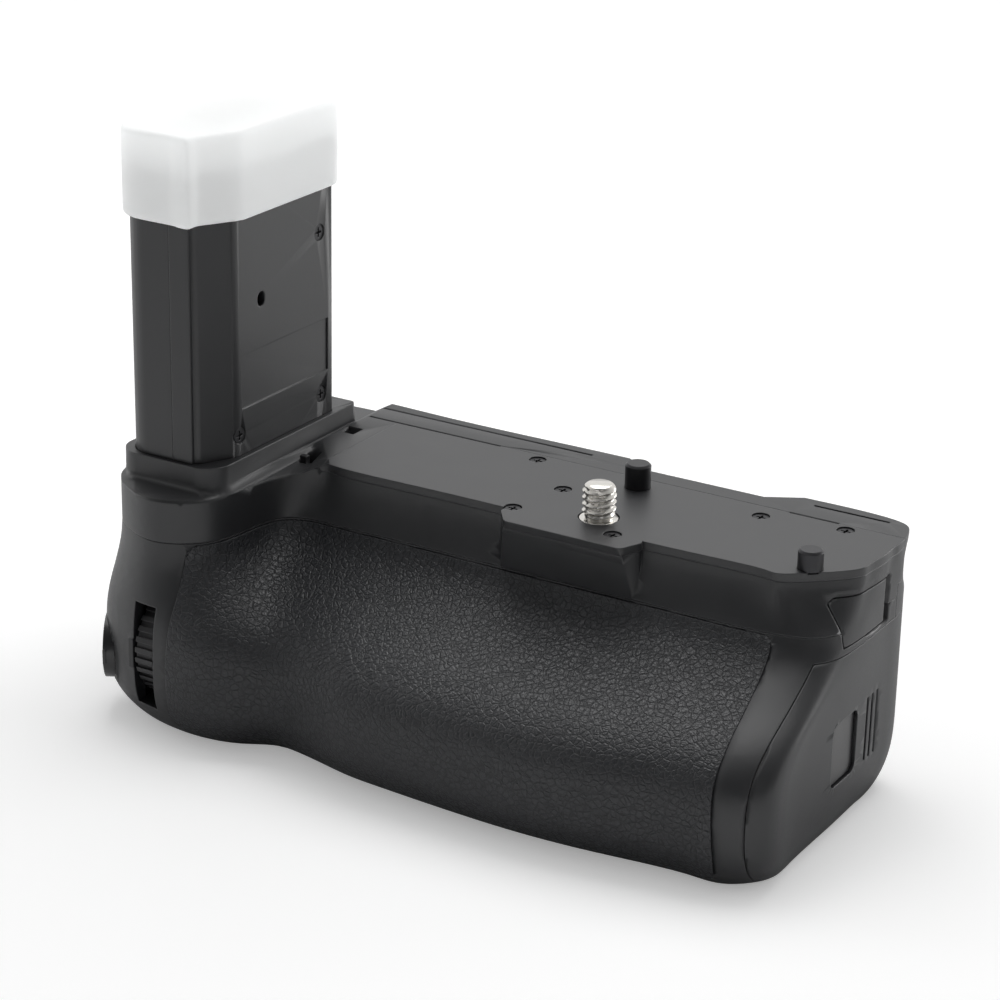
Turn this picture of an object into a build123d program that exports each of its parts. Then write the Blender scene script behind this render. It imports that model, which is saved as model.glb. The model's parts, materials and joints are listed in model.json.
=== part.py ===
import math
import os

from build123d import *

# Battery grip that hangs under a camera body.
# Origin on the camera screw's axis at the deck, +X towards the battery tray's end,
# +Y towards the back of the camera, +Z up towards the camera. All lengths in millimetres.

os.makedirs("parts", exist_ok=True)

# Body envelope, measured from the camera screw and down from the deck
body_right = 51.1
body_left = 93.0
body_front = 38.0
body_rear = 29.8
body_drop = 50.0
seam_drop = 10.5
seam_gap = 0.1
body_wall = 2.4
base_wall = 3.2
overrun = 20.0
touch_gap = 0.01

# Split between the front cover and the rear cover
split_y = 19.3
rear_cover_top = 8.0

# Deck plate that the camera sits on, and the shoulder beside it
deck_left = 57.5
deck_rear = 21.6
deck_thick = 1.6
deck_gap = 0.12
deck_ledge = 1.6
rear_roof = 2.7
left_roof = 4.6
shoulder_drop = 2.0
ramp_corner_x, ramp_corner_y = 56.0, 4.6
ramp_side_x, ramp_side_y = 64.5, 5.5
ramp_run, ramp_side_run, ramp_fall = 4.5, 3.5, 0.9
tongue_left, tongue_right = 13.5, 10.5
tongue_reach, tongue_root_reach = 11.2, 8.4
tongue_back = 5.0
tongue_slope_left, tongue_slope_right = 4.6, 2.6
tongue_round = 1.6
groove_width, groove_depth = 0.7, 0.5
groove_spans = [
    ((64.2, -33.8), 21.6), ((-28.0, 38.0), 21.6), ((70.9, -16.6), 27.2), ((-30.3, 45.5), 27.2),
]
notch_left, notch_right = 3.4, 20.6
notch_slope = 6.5
notch_floor_y = 26.0
notch_drop = 7.0

# Camera screw and the gears that drive it
thread_radius = 3.175
screw_rise = 6.6
screw_tip = 0.6
screw_collar_radius = 3.6
screw_hole_radius = 3.85
journal_radius = 2.4
running_gap = 0.05
gear_module = 0.6
screw_gear_teeth, idler_teeth, wheel_teeth = 14, 13, 20
gear_top_drop, gear_height = 7.3, 2.8
gear_backlash = 0.3
gear_tip_share, gear_root_share = 0.85, 1.15
tooth_tip_share, tooth_root_share = 0.25, 0.6
wheel_x = 8.4
gear_line = gear_module * (screw_gear_teeth / 2 + idler_teeth + wheel_teeth / 2)
wheel_y = math.sqrt(gear_line**2 - wheel_x**2)
wheel_radius = 13.0
wheel_top_drop, wheel_rim_height = 3.4, 3.0
wheel_gap = 0.5
wheel_ribs = 40
rib_depth = 0.4
rib_share = 0.5
axle_radius = 1.5
axle_head, axle_head_height = 1.0, 0.6
idler_axle_radius = 1.2
wheel_web, wheel_rim_width, wheel_hub_radius = 1.2, 2.0, 3.2
screw_clip, screw_clip_height = 1.0, 0.8

# Locating pins: place, radius, rise, root radius and root length
pins = {
    "rear_pin": (-1.4, 17.3, 2.45, 4.8, 2.0, 1.0),
    "front_pin": (42.6, -0.4, 2.3, 3.7, 1.4, 2.6),
}
pin_chamfer = 0.4
pin_relief = 0.3

# Screws
screw_head_radius, screw_head_height = 1.55, 1.0
screw_head_sink = 0.25
screw_head_gap = 0.15
screw_shank_radius = 0.8
screw_length = 6.0
cross_width, cross_reach, cross_depth = 0.45, 0.95, 0.5
pillar_radius = 2.3
# The first two of these bite into the housing, the others into the chassis
deck_screw_places = [
    (-15.5, -4.5), (6.1, -5.9), (-24.2, 19.3), (-12.4, 8.5), (24.4, 17.0), (40.3, 19.4),
]
wall_screws = 2
wall_boss_radius = 2.3
pillar_gap = 0.2

# Chassis plate between the gears and the boards
chassis_top_drop = 10.9
chassis_thick = 1.5
chassis_left, chassis_right = 54.0, 45.6
chassis_front, chassis_rear = 4.2, 21.6
chassis_corner = 5.0

# Main board and the strip that joins it to the tower
board_top_drop, board_thick = 15.5, 1.0
board_left, board_right, board_front, board_rear = 52.0, 40.0, 5.5, 20.5
standoff_radius = 1.5
standoff_inset = 4.0
chip_size, chip_height = 9.0, 1.2
chip_pitch = 22.0
flex_thick, flex_width = 0.2, 8.0
flex_x = 78.2
flex_y = 1.0

# Battery-shaped tower that goes into the camera
tower_thick, tower_depth, tower_rise = 20.5, 40.0, 59.0
tower_root = 8.0
tower_margin, tower_setback = 4.85, 11.9
tower_wall = 1.6
tower_gap = 0.15
tower_split = 11.45
tower_seam = 0.08
tower_corner, tower_rear_corner = 5.5, 0.8
tower_band, tower_step, tower_facet = 4.6, 0.8, 3.8
tower_facet_back = 8.2
tower_step_round, tower_facet_round, tower_side_round = 0.2, 1.2, 4.0
flange_reach, flange_height, flange_half = 1.2, 1.3, 8.0
label_front, label_rear, label_foot, label_top, label_depth = 9.7, 38.1, 12.0, 22.5, 0.3
tower_screw_places = [(35.3, 40.2), (35.8, 7.4), (9.04, 7.0)]
tower_screw_length = 12.0
tower_boss_radius = 2.3
tower_hole_y, tower_hole_z = 16.1, 32.0
tower_hole_radius, tower_hole_length = 1.2, 2.9
contact_count, contact_pitch = 6, 4.6
contact_width, contact_length, contact_proud = 1.0, 5.0, 0.3
contact_x, contact_y = 6.0, 22.0
contact_block_height = 7.0
contact_block_gap = 0.2

# Collar round the tower's foot, with two locking pockets beside it
collar_rise = 3.0
collar_left, collar_right, collar_front, collar_back = 1.45, 1.15, 1.0, 6.3
collar_flare, collar_flare_rise, collar_lean = 1.5, 1.4, 0.25
collar_root = 0.4
collar_corner, collar_rear_corner = 5.0, 1.2
pocket_length, pocket_width, pocket_depth = 3.4, 3.6, 1.4
pocket_reach = 3.15
pocket_places = (24.8, 39.0)
lug_width, lug_height = 1.2, 0.9

# Cap over the tower's contacts
cap_wall, cap_roof, cap_gap = 1.0, 1.2, 0.3
cap_foot, cap_rise = 48.5, 65.6
cap_seat_gap = 0.05
cap_rib = 1.0
cap_rib_places = (5.0, 36.5)
cap_ridge_left, cap_ridge_right, cap_ridge_proud = 6.25, 2.85, 0.5

# Battery tray, its guide and its end cap
battery_length, battery_width, battery_thick = 56.0, 40.0, 20.5
battery_gap = 0.3
tray_wall, tray_floor = 1.0, 1.2
tray_foot_drop = 44.3
tray_centre_y = 1.2
tray_divider = 1.4
latch_zone = 4.6
tray_gap = 0.25
guide_wall, guide_floor, guide_end_gap = 0.9, 0.8, 0.6
guide_chamfer = 0.7
guide_foot_radius = 2.0
guide_foot_spread_x, guide_foot_spread_y = 24.0, 14.0
end_split = 47.6
end_top_drop = 14.6
end_gap = 0.15
groove_places = (9.6, 11.6, 13.66)
grip_groove_width, grip_groove_depth = 0.9, 0.6
grip_groove_top, grip_groove_foot = 26.6, 39.4
pad_width, pad_height, pad_pitch, pad_count = 3.0, 4.0, 8.0, 3
pad_drop = 36.0
pad_proud = 0.4

# Latch button in the end cap
latch_y, latch_drop = 0.3, 33.2
latch_width, latch_height, latch_corner = 9.6, 12.0, 1.6
latch_sink, latch_gap, latch_lip, latch_lip_thick = 0.6, 0.25, 1.0, 0.9
latch_run_gap = 0.1
spring_radius, spring_wire = 2.2, 0.6
spring_turns = 3.0

# USB socket and its flap
flap_front, flap_rear = 1.0, 13.7
flap_top_drop, flap_foot_drop = 4.9, 13.1
flap_thick, flap_gap, flap_finger_gap = 1.3, 0.3, 1.9
flap_bend_x, flap_bend_y = 3.0, 5.0
usb_width, usb_height, usb_length = 8.9, 3.2, 7.0
usb_corner, usb_tongue_width = 1.0, 5.8
usb_y, usb_wall = 8.6, 0.35
usb_board_length, usb_board_width, usb_board_thick = 10.0, 12.0, 0.8
usb_window_gap = 0.3

# Rubber covers
rubber_sink, rubber_proud = 1.0, 0.25
rubber_corner, rubber_back = 2.0, 2.0
skin_margin = 2.0
rubber_shares = [
    (-0.749, 0.22), (-0.751, 0.4), (-0.758, 0.68), (-0.756, 0.88), (-0.73, 0.962),
    (0.822, 0.962), (0.83, 0.86), (0.812, 0.5), (0.776, 0.22),
]
thumb_left, thumb_right, thumb_top, thumb_foot, thumb_corner = 88.0, 66.0, 34.5, 45.5, 3.0

# Dials and the brackets that carry them
dial_x = -76.4
dial_width, dial_gap, dial_slot_gap = 4.0, 0.5, 0.65
dial_slot_reach = 12.0
dial_ribs, dial_rib_depth = 32, 0.55
front_dial_radius, front_dial_y, front_dial_drop = 10.8, -26.2, 33.2
rear_dial_radius, rear_dial_y, rear_dial_drop = 9.5, 19.4, 24.0
dial_axle_radius = 1.0
front_slot_half, rear_slot_half = 10.4, 7.5
bracket_thick, bracket_half = 1.2, 3.0

# Shutter button with its lock collar, square to the left front corner
shutter_x, shutter_y, shutter_drop, shutter_angle = -90.2, -28.6, 37.0, 30.0
shutter_radius, shutter_travel = 3.8, 0.8
shutter_top, shutter_thick = 0.8, 1.4
ring_outer, ring_inner = 6.4, 4.5
ring_rise, ring_sink = 1.2, 1.5
ring_gap = 0.15
lever_length, lever_width = 2.2, 3.0
boss_radius, boss_thick = 8.0, 2.4
stem_radius, stem_end = 1.5, 6.0
post_radius, post_spread = 1.0, 4.4
switch_board_radius, switch_board_thick = 5.5, 1.0

# Small buttons: cap radius, travel and the lip behind the wall
button_travel, button_gap, button_rise = 0.6, 0.15, 0.8
button_lip, button_lip_thick = 0.7, 0.6
side_button_radius, side_button_y = 3.0, -9.0
exposure_drop, sensitivity_drop = 30.0, 38.5
side_board_front, side_board_rear, side_board_top, side_board_foot = 14.0, 4.0, 26.0, 42.5
focus_radius, focus_x, focus_drop = 3.6, -66.0, 20.0

# Share of the body's rear reach at which its rear wall stands beside the buttons
rear_face_share = 0.945

# Multi selector
selector_x, selector_drop = -58.0, 33.0
selector_radius, selector_thick, selector_rise = 5.4, 1.6, 1.4
selector_pocket_radius, selector_pocket_depth = 6.3, 1.4
selector_hole_radius = 2.0
selector_stem_radius = 1.1
selector_yoke_outer, selector_yoke_inner, selector_yoke_thick = 2.9, 1.5, 0.6
selector_travel = 0.4
rear_board_thick = 0.7
rear_board_left, rear_board_right, rear_board_top, rear_board_foot = 71.0, 51.0, 15.5, 41.0

# Base plate, its screws and the tripod bush
plate_left, plate_right, plate_front, plate_rear = 72.0, 38.0, 20.0, 14.0
plate_thick, plate_corner, plate_gap = 1.5, 6.0, 0.1
plate_middle_x, plate_middle_y = (plate_right - plate_left) / 2, (plate_rear - plate_front) / 2
base_screw_spread_x, base_screw_spread_y = 48.0, 13.0
base_screw_length = 2.8
bush_radius, bush_flange_radius, bush_flange_height = 6.0, 7.5, 1.2
bush_depth = 4.0

middle = Align.CENTER
low_end = Align.MIN
high_end = Align.MAX
on_face = (middle, middle, high_end)
from_face = (middle, middle, low_end)


def places(shares):
    """Points in millimetres from shares of the body's reach to each side."""
    points = []
    for across, along in shares:
        x = across * (body_right if across > 0 else body_left)
        y = along * (body_rear if along > 0 else body_front)
        points.append((x, y))
    return points


def between(first, second, share):
    """Points that lie a share of the way from one outline to another."""
    return [
        (a[0] + (b[0] - a[0]) * share, a[1] + (b[1] - a[1]) * share)
        for a, b in zip(first, second)
    ]


def inset(points, distance):
    """The same closed outline moved inwards, square to itself at each point."""
    moved = []
    for index, (x, y) in enumerate(points):
        before, after = points[index - 1], points[(index + 1) % len(points)]
        run_x, run_y = after[0] - before[0], after[1] - before[1]
        length = math.hypot(run_x, run_y)
        moved.append((x - distance * run_y / length, y + distance * run_x / length))
    return moved


def slab(low, high, mode=Mode.ADD):
    """A box between two corners, in the part being built."""
    with Locations(low):
        Box(*[b - a for a, b in zip(low, high)], align=(low_end, low_end, low_end), mode=mode)


def rod(start, end, radius, mode=Mode.ADD):
    """A round bar from one point to another, in the part being built."""
    run = Vector(*end) - Vector(*start)
    with Locations(Plane(origin=start, z_dir=run.normalized())):
        Cylinder(radius, run.length, align=from_face, mode=mode)


def prism(points, low, high, plane=Plane.XY, radius=0.0):
    """A closed outline on a plane, pulled from one height to another, its corners rounded."""
    with BuildPart() as form:
        with BuildSketch(plane.offset(low)):
            with BuildLine():
                if radius:
                    FilletPolyline(*points, radius=radius, close=True)
                else:
                    Polyline(*points, close=True)
            make_face()
        extrude(amount=high - low)
    return form.part


def chord_steps(points):
    """Shares of the way round a closed outline at which its points lie."""
    steps = [0.0]
    for index, point in enumerate(points):
        steps.append(steps[-1] + math.dist(point, points[(index + 1) % len(points)]))
    return [step / steps[-1] for step in steps]


def lofted(levels, distance=0.0):
    """A solid through the given levels, moved inwards by a distance."""
    with BuildPart() as form:
        for drop, outline in levels:
            with BuildSketch(Plane.XY.offset(-drop)):
                with BuildLine():
                    points = inset(outline, distance)
                    add(Edge.make_spline(points, periodic=True, parameters=spline_steps))
                make_face()
        loft()
    return form.part


def head_plane(x, y, drop):
    """The plane of a screw's head that looks up out of the deck."""
    return Plane(origin=(x, y, -drop), z_dir=(0, 0, 1))


def add_screw(face, length):
    """A cross-head screw in the part being built, its head's top on a plane."""
    with Locations(face):
        Cylinder(screw_head_radius, screw_head_height, align=on_face)
        Cylinder(screw_shank_radius, length, align=on_face)
        Box(2 * cross_reach, cross_width, cross_depth, align=on_face, mode=Mode.SUBTRACT)
        Box(cross_width, 2 * cross_reach, cross_depth, align=on_face, mode=Mode.SUBTRACT)


def screw_hole(face, length):
    """The stepped room that a screw sits in, as part of a cutter."""
    with Locations(face.offset(screw_head_sink + touch_gap)):
        Cylinder(
            screw_head_radius + screw_head_gap,
            screw_head_height + screw_head_sink + touch_gap,
            align=on_face,
        )
    with Locations(face):
        Cylinder(screw_shank_radius + touch_gap, length + touch_gap, align=on_face)


# Outlines of the body as shares of its reach, anticlockwise seen from above from the tray's end
deck_shares = [
    (1.0, 0.6), (0.996, 0.74), (0.968, 0.9), (0.915, 0.965), (0.84, 0.99), (0.49, 1.0),
    (-0.16, 1.0), (-0.59, 1.0), (-0.86, 0.97), (-0.946, 0.84), (-0.978, 0.6), (-0.982, 0.0),
    (-0.976, -0.47), (-0.951, -0.708), (-0.892, -0.832), (-0.817, -0.889), (-0.753, -0.832),
    (-0.715, -0.729), (-0.699, -0.566), (-0.68, -0.316), (-0.626, -0.155), (-0.57, -0.145),
    (-0.409, -0.145), (-0.086, -0.145), (0.43, -0.145), (0.72, -0.142), (0.83, -0.087),
    (0.951, 0.08), (0.99, 0.22), (0.998, 0.36), (1.0, 0.48),
]
seam_shares = [
    (1.0, 0.6), (0.998, 0.73), (0.976, 0.845), (0.92, 0.905), (0.84, 0.926), (0.49, 0.935),
    (-0.16, 0.94), (-0.59, 0.945), (-0.86, 0.93), (-0.946, 0.84), (-0.978, 0.6), (-0.982, 0.0),
    (-0.976, -0.47), (-0.951, -0.708), (-0.892, -0.832), (-0.817, -0.889), (-0.753, -0.832),
    (-0.715, -0.729), (-0.699, -0.566), (-0.68, -0.316), (-0.629, -0.226), (-0.559, -0.218),
    (-0.409, -0.218), (-0.086, -0.218), (0.43, -0.218), (0.744, -0.21), (0.924, -0.137),
    (0.971, -0.042), (0.993, 0.1), (1.0, 0.3), (1.0, 0.46),
]
waist_shares = [
    (1.0, 0.6), (0.999, 0.73), (0.978, 0.84), (0.92, 0.895), (0.84, 0.914), (0.49, 0.925),
    (-0.16, 0.93), (-0.59, 0.95), (-0.86, 0.95), (-0.962, 0.872), (-0.997, 0.6), (-1.0, 0.0),
    (-1.0, -0.5), (-0.984, -0.758), (-0.919, -0.895), (-0.833, -0.974), (-0.747, -1.0),
    (-0.672, -0.987), (-0.602, -0.921), (-0.532, -0.868), (-0.452, -0.9), (-0.376, -0.947),
    (-0.301, -0.974), (-0.054, -1.0), (0.391, -0.968), (0.744, -0.895), (0.916, -0.85),
    (0.99, -0.763), (1.0, -0.56), (1.0, -0.1), (1.0, 0.27),
]
foot_shares = [
    (0.951, 0.44), (0.949, 0.54), (0.926, 0.63), (0.87, 0.668), (0.8, 0.682), (0.49, 0.69),
    (-0.16, 0.69), (-0.59, 0.705), (-0.839, 0.69), (-0.892, 0.604), (-0.909, 0.4),
    (-0.912, -0.13), (-0.909, -0.474), (-0.882, -0.671), (-0.828, -0.763), (-0.774, -0.797),
    (-0.71, -0.803), (-0.65, -0.771), (-0.602, -0.711), (-0.548, -0.671), (-0.473, -0.692),
    (-0.387, -0.737), (-0.301, -0.763), (-0.054, -0.803), (0.391, -0.771), (0.714, -0.737),
    (0.861, -0.697), (0.934, -0.579), (0.951, -0.4), (0.951, -0.05), (0.951, 0.22),
]

deck_outline = places(deck_shares)
seam_outline = places(seam_shares)
waist_outline = places(waist_shares)
foot_outline = places(foot_shares)
spline_steps = chord_steps(between(seam_outline, waist_outline, 0.5))

# How the body changes on the way down: share of the height, then share of the way to the next outline
neck_step_shares = [(0.0, 0.0), (0.21, 0.03), (0.43, 0.18), (0.71, 0.5), (1.0, 1.0)]
rear_waist = 2.4
rear_waist_shares = [0.0, 0.35, 1.0, 0.85, 0.0]
flare_step_shares = [
    (0.0, 0.0), (0.063, 0.05), (0.114, 0.13), (0.177, 0.28), (0.241, 0.46), (0.304, 0.65),
    (0.367, 0.81), (0.443, 0.93), (0.544, 0.99), (0.646, 1.0),
]
tuck_step_shares = [
    (0.747, 0.03), (0.835, 0.14), (0.911, 0.36), (0.962, 0.62), (0.99, 0.86), (1.0, 1.0),
]
rear_side_share = 0.75
lower_height = body_drop - seam_drop

# Rooms of the lower hollow: its top level, its foot level and the narrowest level between them
room_levels = [(0, 2, 0), (2, 4, 2), (4, 5, 4), (5, 6, 5), (6, 11, 6), (11, 12, 12), (12, 13, 13)]


def upper_levels():
    """Outlines of the body from the deck down to the seam, each with its drop."""
    levels = []
    for (height, share), pinch in zip(neck_step_shares, rear_waist_shares):
        outline = between(deck_outline, seam_outline, share)
        outline = [
            (x, y - rear_waist * pinch if y > rear_side_share * body_rear else y)
            for x, y in outline
        ]
        levels.append((height * seam_drop, outline))
    return levels


def lower_levels():
    """Outlines of the body from the seam down to its base, each with its drop."""
    levels = []
    for height, share in flare_step_shares:
        levels.append((seam_drop + height * lower_height, between(seam_outline, waist_outline, share)))
    for height, share in tuck_step_shares:
        levels.append((seam_drop + height * lower_height, between(waist_outline, foot_outline, share)))
    return levels


upper_form = lofted(upper_levels())
lower_form = lofted(lower_levels())


def plain_hollow(levels, top_drop, foot_drop, narrow):
    """A straight-sided room inside the body, a wall away from its outline at a chosen level."""
    return prism(inset(levels[narrow][1], body_wall), -foot_drop, -top_drop)


upper_hollow = plain_hollow(upper_levels(), 0, seam_drop + seam_gap, 2)
with BuildPart() as lower_rooms:
    stack = lower_levels()
    for top, foot, narrow in room_levels:
        add(plain_hollow(stack, stack[top][0], stack[foot][0], narrow))
    slab(
        (-body_left, -body_front, -body_drop),
        (body_right, body_rear, -body_drop + base_wall),
        mode=Mode.SUBTRACT,
    )
lower_hollow = lower_rooms.part

# Tower outline, seen from above
tower_left = -body_left + tower_margin
tower_right = tower_left + tower_thick
tower_front = -body_front + tower_setback
tower_rear = tower_front + tower_depth
tower_points = [
    (tower_right, tower_rear),
    (tower_left, tower_rear),
    (tower_left, tower_front),
    (tower_right - tower_band, tower_front),
    (tower_right - tower_band, tower_front + tower_step),
    (tower_right - tower_facet, tower_front + tower_step),
    (tower_right, tower_front + tower_facet_back),
]
tower_rounds = [
    tower_rear_corner, tower_rear_corner, tower_corner, tower_step_round,
    tower_step_round, tower_facet_round, tower_side_round,
]


def tower_block(grow, low, high):
    """The tower's outline, grown by a distance, between two heights."""
    with BuildPart() as block:
        with BuildSketch(Plane.XY.offset(low)):
            with BuildLine():
                FilletPolyline(*tower_points, radius=tower_rounds, close=True)
            make_face()
            if grow:
                offset(amount=grow)
        extrude(amount=high - low)
    return block.part


# Upper body before it is divided: deck, tongue, ramp down to the shoulder, notch and grooves
far_left, far_right = -body_left - overrun, body_right + overrun
far_front, far_rear = -body_front - overrun, body_rear + overrun
ramp_top = [
    (-ramp_corner_x, far_front), (-ramp_corner_x, -ramp_corner_y), (-ramp_side_x, ramp_side_y),
    (-ramp_side_x, far_rear), (far_left, far_rear), (far_left, far_front),
]
ramp_foot = [
    (ramp_top[0][0] - ramp_run, far_front),
    (ramp_top[1][0] - ramp_run, ramp_top[1][1] - ramp_fall),
    (ramp_top[2][0] - ramp_side_run, ramp_top[2][1] - 2 * ramp_fall),
    (ramp_top[3][0] - ramp_side_run, far_rear),
    (far_left, far_rear),
    (far_left, far_front),
]

with BuildPart() as ramp:
    for drop, outline in ((0, ramp_top), (shoulder_drop, ramp_foot)):
        with BuildSketch(Plane.XY.offset(-drop)):
            with BuildLine():
                Polyline(*outline, close=True)
            make_face()
    loft(ruled=True)

with BuildPart() as tongue:
    with BuildSketch(Plane.XY.offset(-seam_drop)):
        with BuildLine():
            FilletPolyline(
                (-tongue_left - tongue_slope_left, -tongue_back),
                (-tongue_left, -tongue_reach),
                (tongue_right, -tongue_reach),
                (tongue_right + tongue_slope_right, -tongue_back),
                radius=tongue_round,
                close=True,
            )
        make_face()
    extrude(amount=seam_drop)
    with BuildSketch(Plane.YZ.offset(-body_left)):
        with BuildLine():
            Polyline(
                (-tongue_reach, 0),
                (-tongue_root_reach, -seam_drop),
                (-body_front, -seam_drop),
                (-body_front, 0),
                close=True,
            )
        make_face()
    extrude(amount=body_left + body_right, mode=Mode.SUBTRACT)

notch = prism(
    [
        (-notch_left - notch_slope, far_rear),
        (-notch_left - notch_slope, body_rear),
        (-notch_left, notch_floor_y),
        (notch_right, notch_floor_y),
        (notch_right + notch_slope, body_rear),
        (notch_right + notch_slope, far_rear),
    ],
    -notch_drop,
    overrun,
)

with BuildPart() as crown_cuts:
    add(ramp.part)
    add(notch)
    for (left, right), y in groove_spans:
        slab(
            (-left, y - groove_width / 2, -groove_depth),
            (right, y + groove_width / 2, overrun),
        )

with BuildPart() as crown:
    add(upper_form)
    add(tongue.part)
    add(crown_cuts.part, mode=Mode.SUBTRACT)

# USB flap: a piece of the body's surface, and the recess that it lies in
def flap_zone(depth, gap, rear):
    """The room of the flap, to a depth behind the body's end face and its front corner."""
    front = -flap_front - gap
    return prism(
        [
            (far_right, front),
            (far_right, rear),
            (body_right - depth, rear),
            (body_right - depth, flap_bend_y),
            (body_right - depth - flap_bend_x, front),
        ],
        -flap_foot_drop - gap,
        -flap_top_drop + gap,
    )


flap_room = flap_zone(flap_thick, 0, flap_rear)
recess_room = flap_zone(flap_thick + flap_gap, flap_gap, flap_rear + flap_finger_gap)

# Where the pieces inside lie, from top to bottom
chassis_top = -chassis_top_drop
chassis_foot = chassis_top - chassis_thick
gear_top = -gear_top_drop
gear_foot = gear_top - gear_height
wheel_top = -wheel_top_drop
wheel_foot = wheel_top - wheel_rim_height
board_top = -board_top_drop
board_foot = board_top - board_thick
base_top = -body_drop + base_wall
tray_foot = -tray_foot_drop
tray_top = tray_foot + tray_floor + battery_thick + battery_gap
end_face = end_split + end_gap / 2
tray_front = tray_centre_y - battery_width / 2 - battery_gap - tray_wall
tray_rear = tray_centre_y + battery_width / 2 + battery_gap + tray_wall
bay_length = battery_length + 2 * battery_gap
bay_right = end_split - latch_zone
bay_lefts = [bay_right - bay_length, bay_right - 2 * bay_length - tray_divider]
tray_left = bay_lefts[1] - tray_wall
pad_places = [tray_centre_y + (index - (pad_count - 1) / 2) * pad_pitch for index in range(pad_count)]
guide_left = tray_left - tray_gap - guide_wall
guide_right = end_split - guide_end_gap
guide_foot = tray_foot - tray_gap - guide_floor
guide_front, guide_rear = tray_front - tray_gap - guide_wall, tray_rear + tray_gap + guide_wall
gear_angle = math.degrees(math.atan2(wheel_y, wheel_x))
idler_reach = gear_module * (screw_gear_teeth + idler_teeth) / 2
idler_x = idler_reach * math.cos(math.radians(gear_angle))
idler_y = idler_reach * math.sin(math.radians(gear_angle))
screw_faces = [head_plane(x, y, screw_head_sink) for x, y in deck_screw_places]
pillar_places = deck_screw_places[wall_screws:]

# Holes through the deck for the camera screw, the pins and the deck screws
with BuildPart() as deck_holes:
    rod((0, 0, -deck_thick - touch_gap), (0, 0, overrun), screw_hole_radius)
    for x, y, radius, rise, root_radius, root_length in pins.values():
        rod((x, y, -deck_thick - touch_gap), (x, y, overrun), root_radius + touch_gap)
        rod((x, y, -pin_relief), (x, y, overrun), radius + touch_gap)
    for face in screw_faces:
        screw_hole(face, screw_length)

# Deck plate: the top of the crown in front of the rear groove
with BuildPart() as deck_plate:
    add(crown.part)
    slab((-deck_left, far_front, -deck_thick), (far_right, deck_rear, overrun), mode=Mode.INTERSECT)
    add(deck_holes.part, mode=Mode.SUBTRACT)
deck_plate.part.label = "deck_plate"
export_step(deck_plate.part, "parts/deck_plate.step")

# Deck screws
with BuildPart() as deck_screws:
    for face in screw_faces:
        add_screw(face, screw_length)
deck_screws.part.label = "deck_screws"
export_step(deck_screws.part, "parts/deck_screws.step")

# Locating pins, each with a foot under the plate or in the housing's wall
built_pins = {}
for name, (x, y, radius, rise, root_radius, root_length) in pins.items():
    with BuildPart() as pin:
        rod((x, y, 0), (x, y, rise), radius)
        chamfer(pin.edges().group_by(Axis.Z)[-1], pin_chamfer)
        rod((x, y, -deck_thick - root_length), (x, y, 0), root_radius)
    built_pins[name] = pin
    pin.part.label = name
    export_step(pin.part, f"parts/{name}.step")

# Collar round the tower's foot
collar_levels = [
    (-shoulder_drop - collar_root, collar_flare),
    (-shoulder_drop + collar_flare_rise, collar_lean),
    (collar_rise, 0),
]
with BuildPart() as collar:
    for height, grow in collar_levels:
        left, right = tower_left - collar_left, tower_right + collar_right + grow
        front, rear = tower_front - collar_front - grow * collar_lean, tower_rear + collar_back
        with BuildSketch(Plane.XY.offset(height)):
            with BuildLine():
                FilletPolyline(
                    (right, rear), (left, rear), (left, front), (right, front),
                    radius=[collar_rear_corner, collar_rear_corner, collar_corner, collar_corner],
                    close=True,
                )
            make_face()
    loft(ruled=True)

# Posts in the housing's front wall for two of the deck screws and the front pin
front_pin_x, front_pin_y = pins["front_pin"][:2]
wall_bosses = deck_screw_places[:wall_screws] + [(front_pin_x, front_pin_y)]

# Hollow of the housing, with a ledge left under the deck plate
with BuildPart() as housing_hollow:
    add(upper_hollow)
    slab(
        (far_left, far_front, -left_roof),
        (-deck_left + deck_ledge, far_rear, overrun),
        mode=Mode.SUBTRACT,
    )
    slab(
        (far_left, deck_rear - deck_ledge, -rear_roof),
        (far_right, far_rear, overrun),
        mode=Mode.SUBTRACT,
    )
    for x, y in wall_bosses:
        rod((x, y, -seam_drop - overrun), (x, y, overrun), wall_boss_radius, mode=Mode.SUBTRACT)
    slab(
        (far_left, far_front, -deck_thick),
        (far_right, deck_rear - deck_ledge, overrun),
        mode=Mode.SUBTRACT,
    )

pocket_spots = [tower_front + reach for reach in pocket_places]
pocket_left = tower_right + pocket_reach
usb_board_top = chassis_top + usb_board_thick
usb_front = body_right - flap_thick - 2 * flap_gap
screw_gear_reach = gear_module * (screw_gear_teeth / 2 + gear_tip_share)
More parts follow.
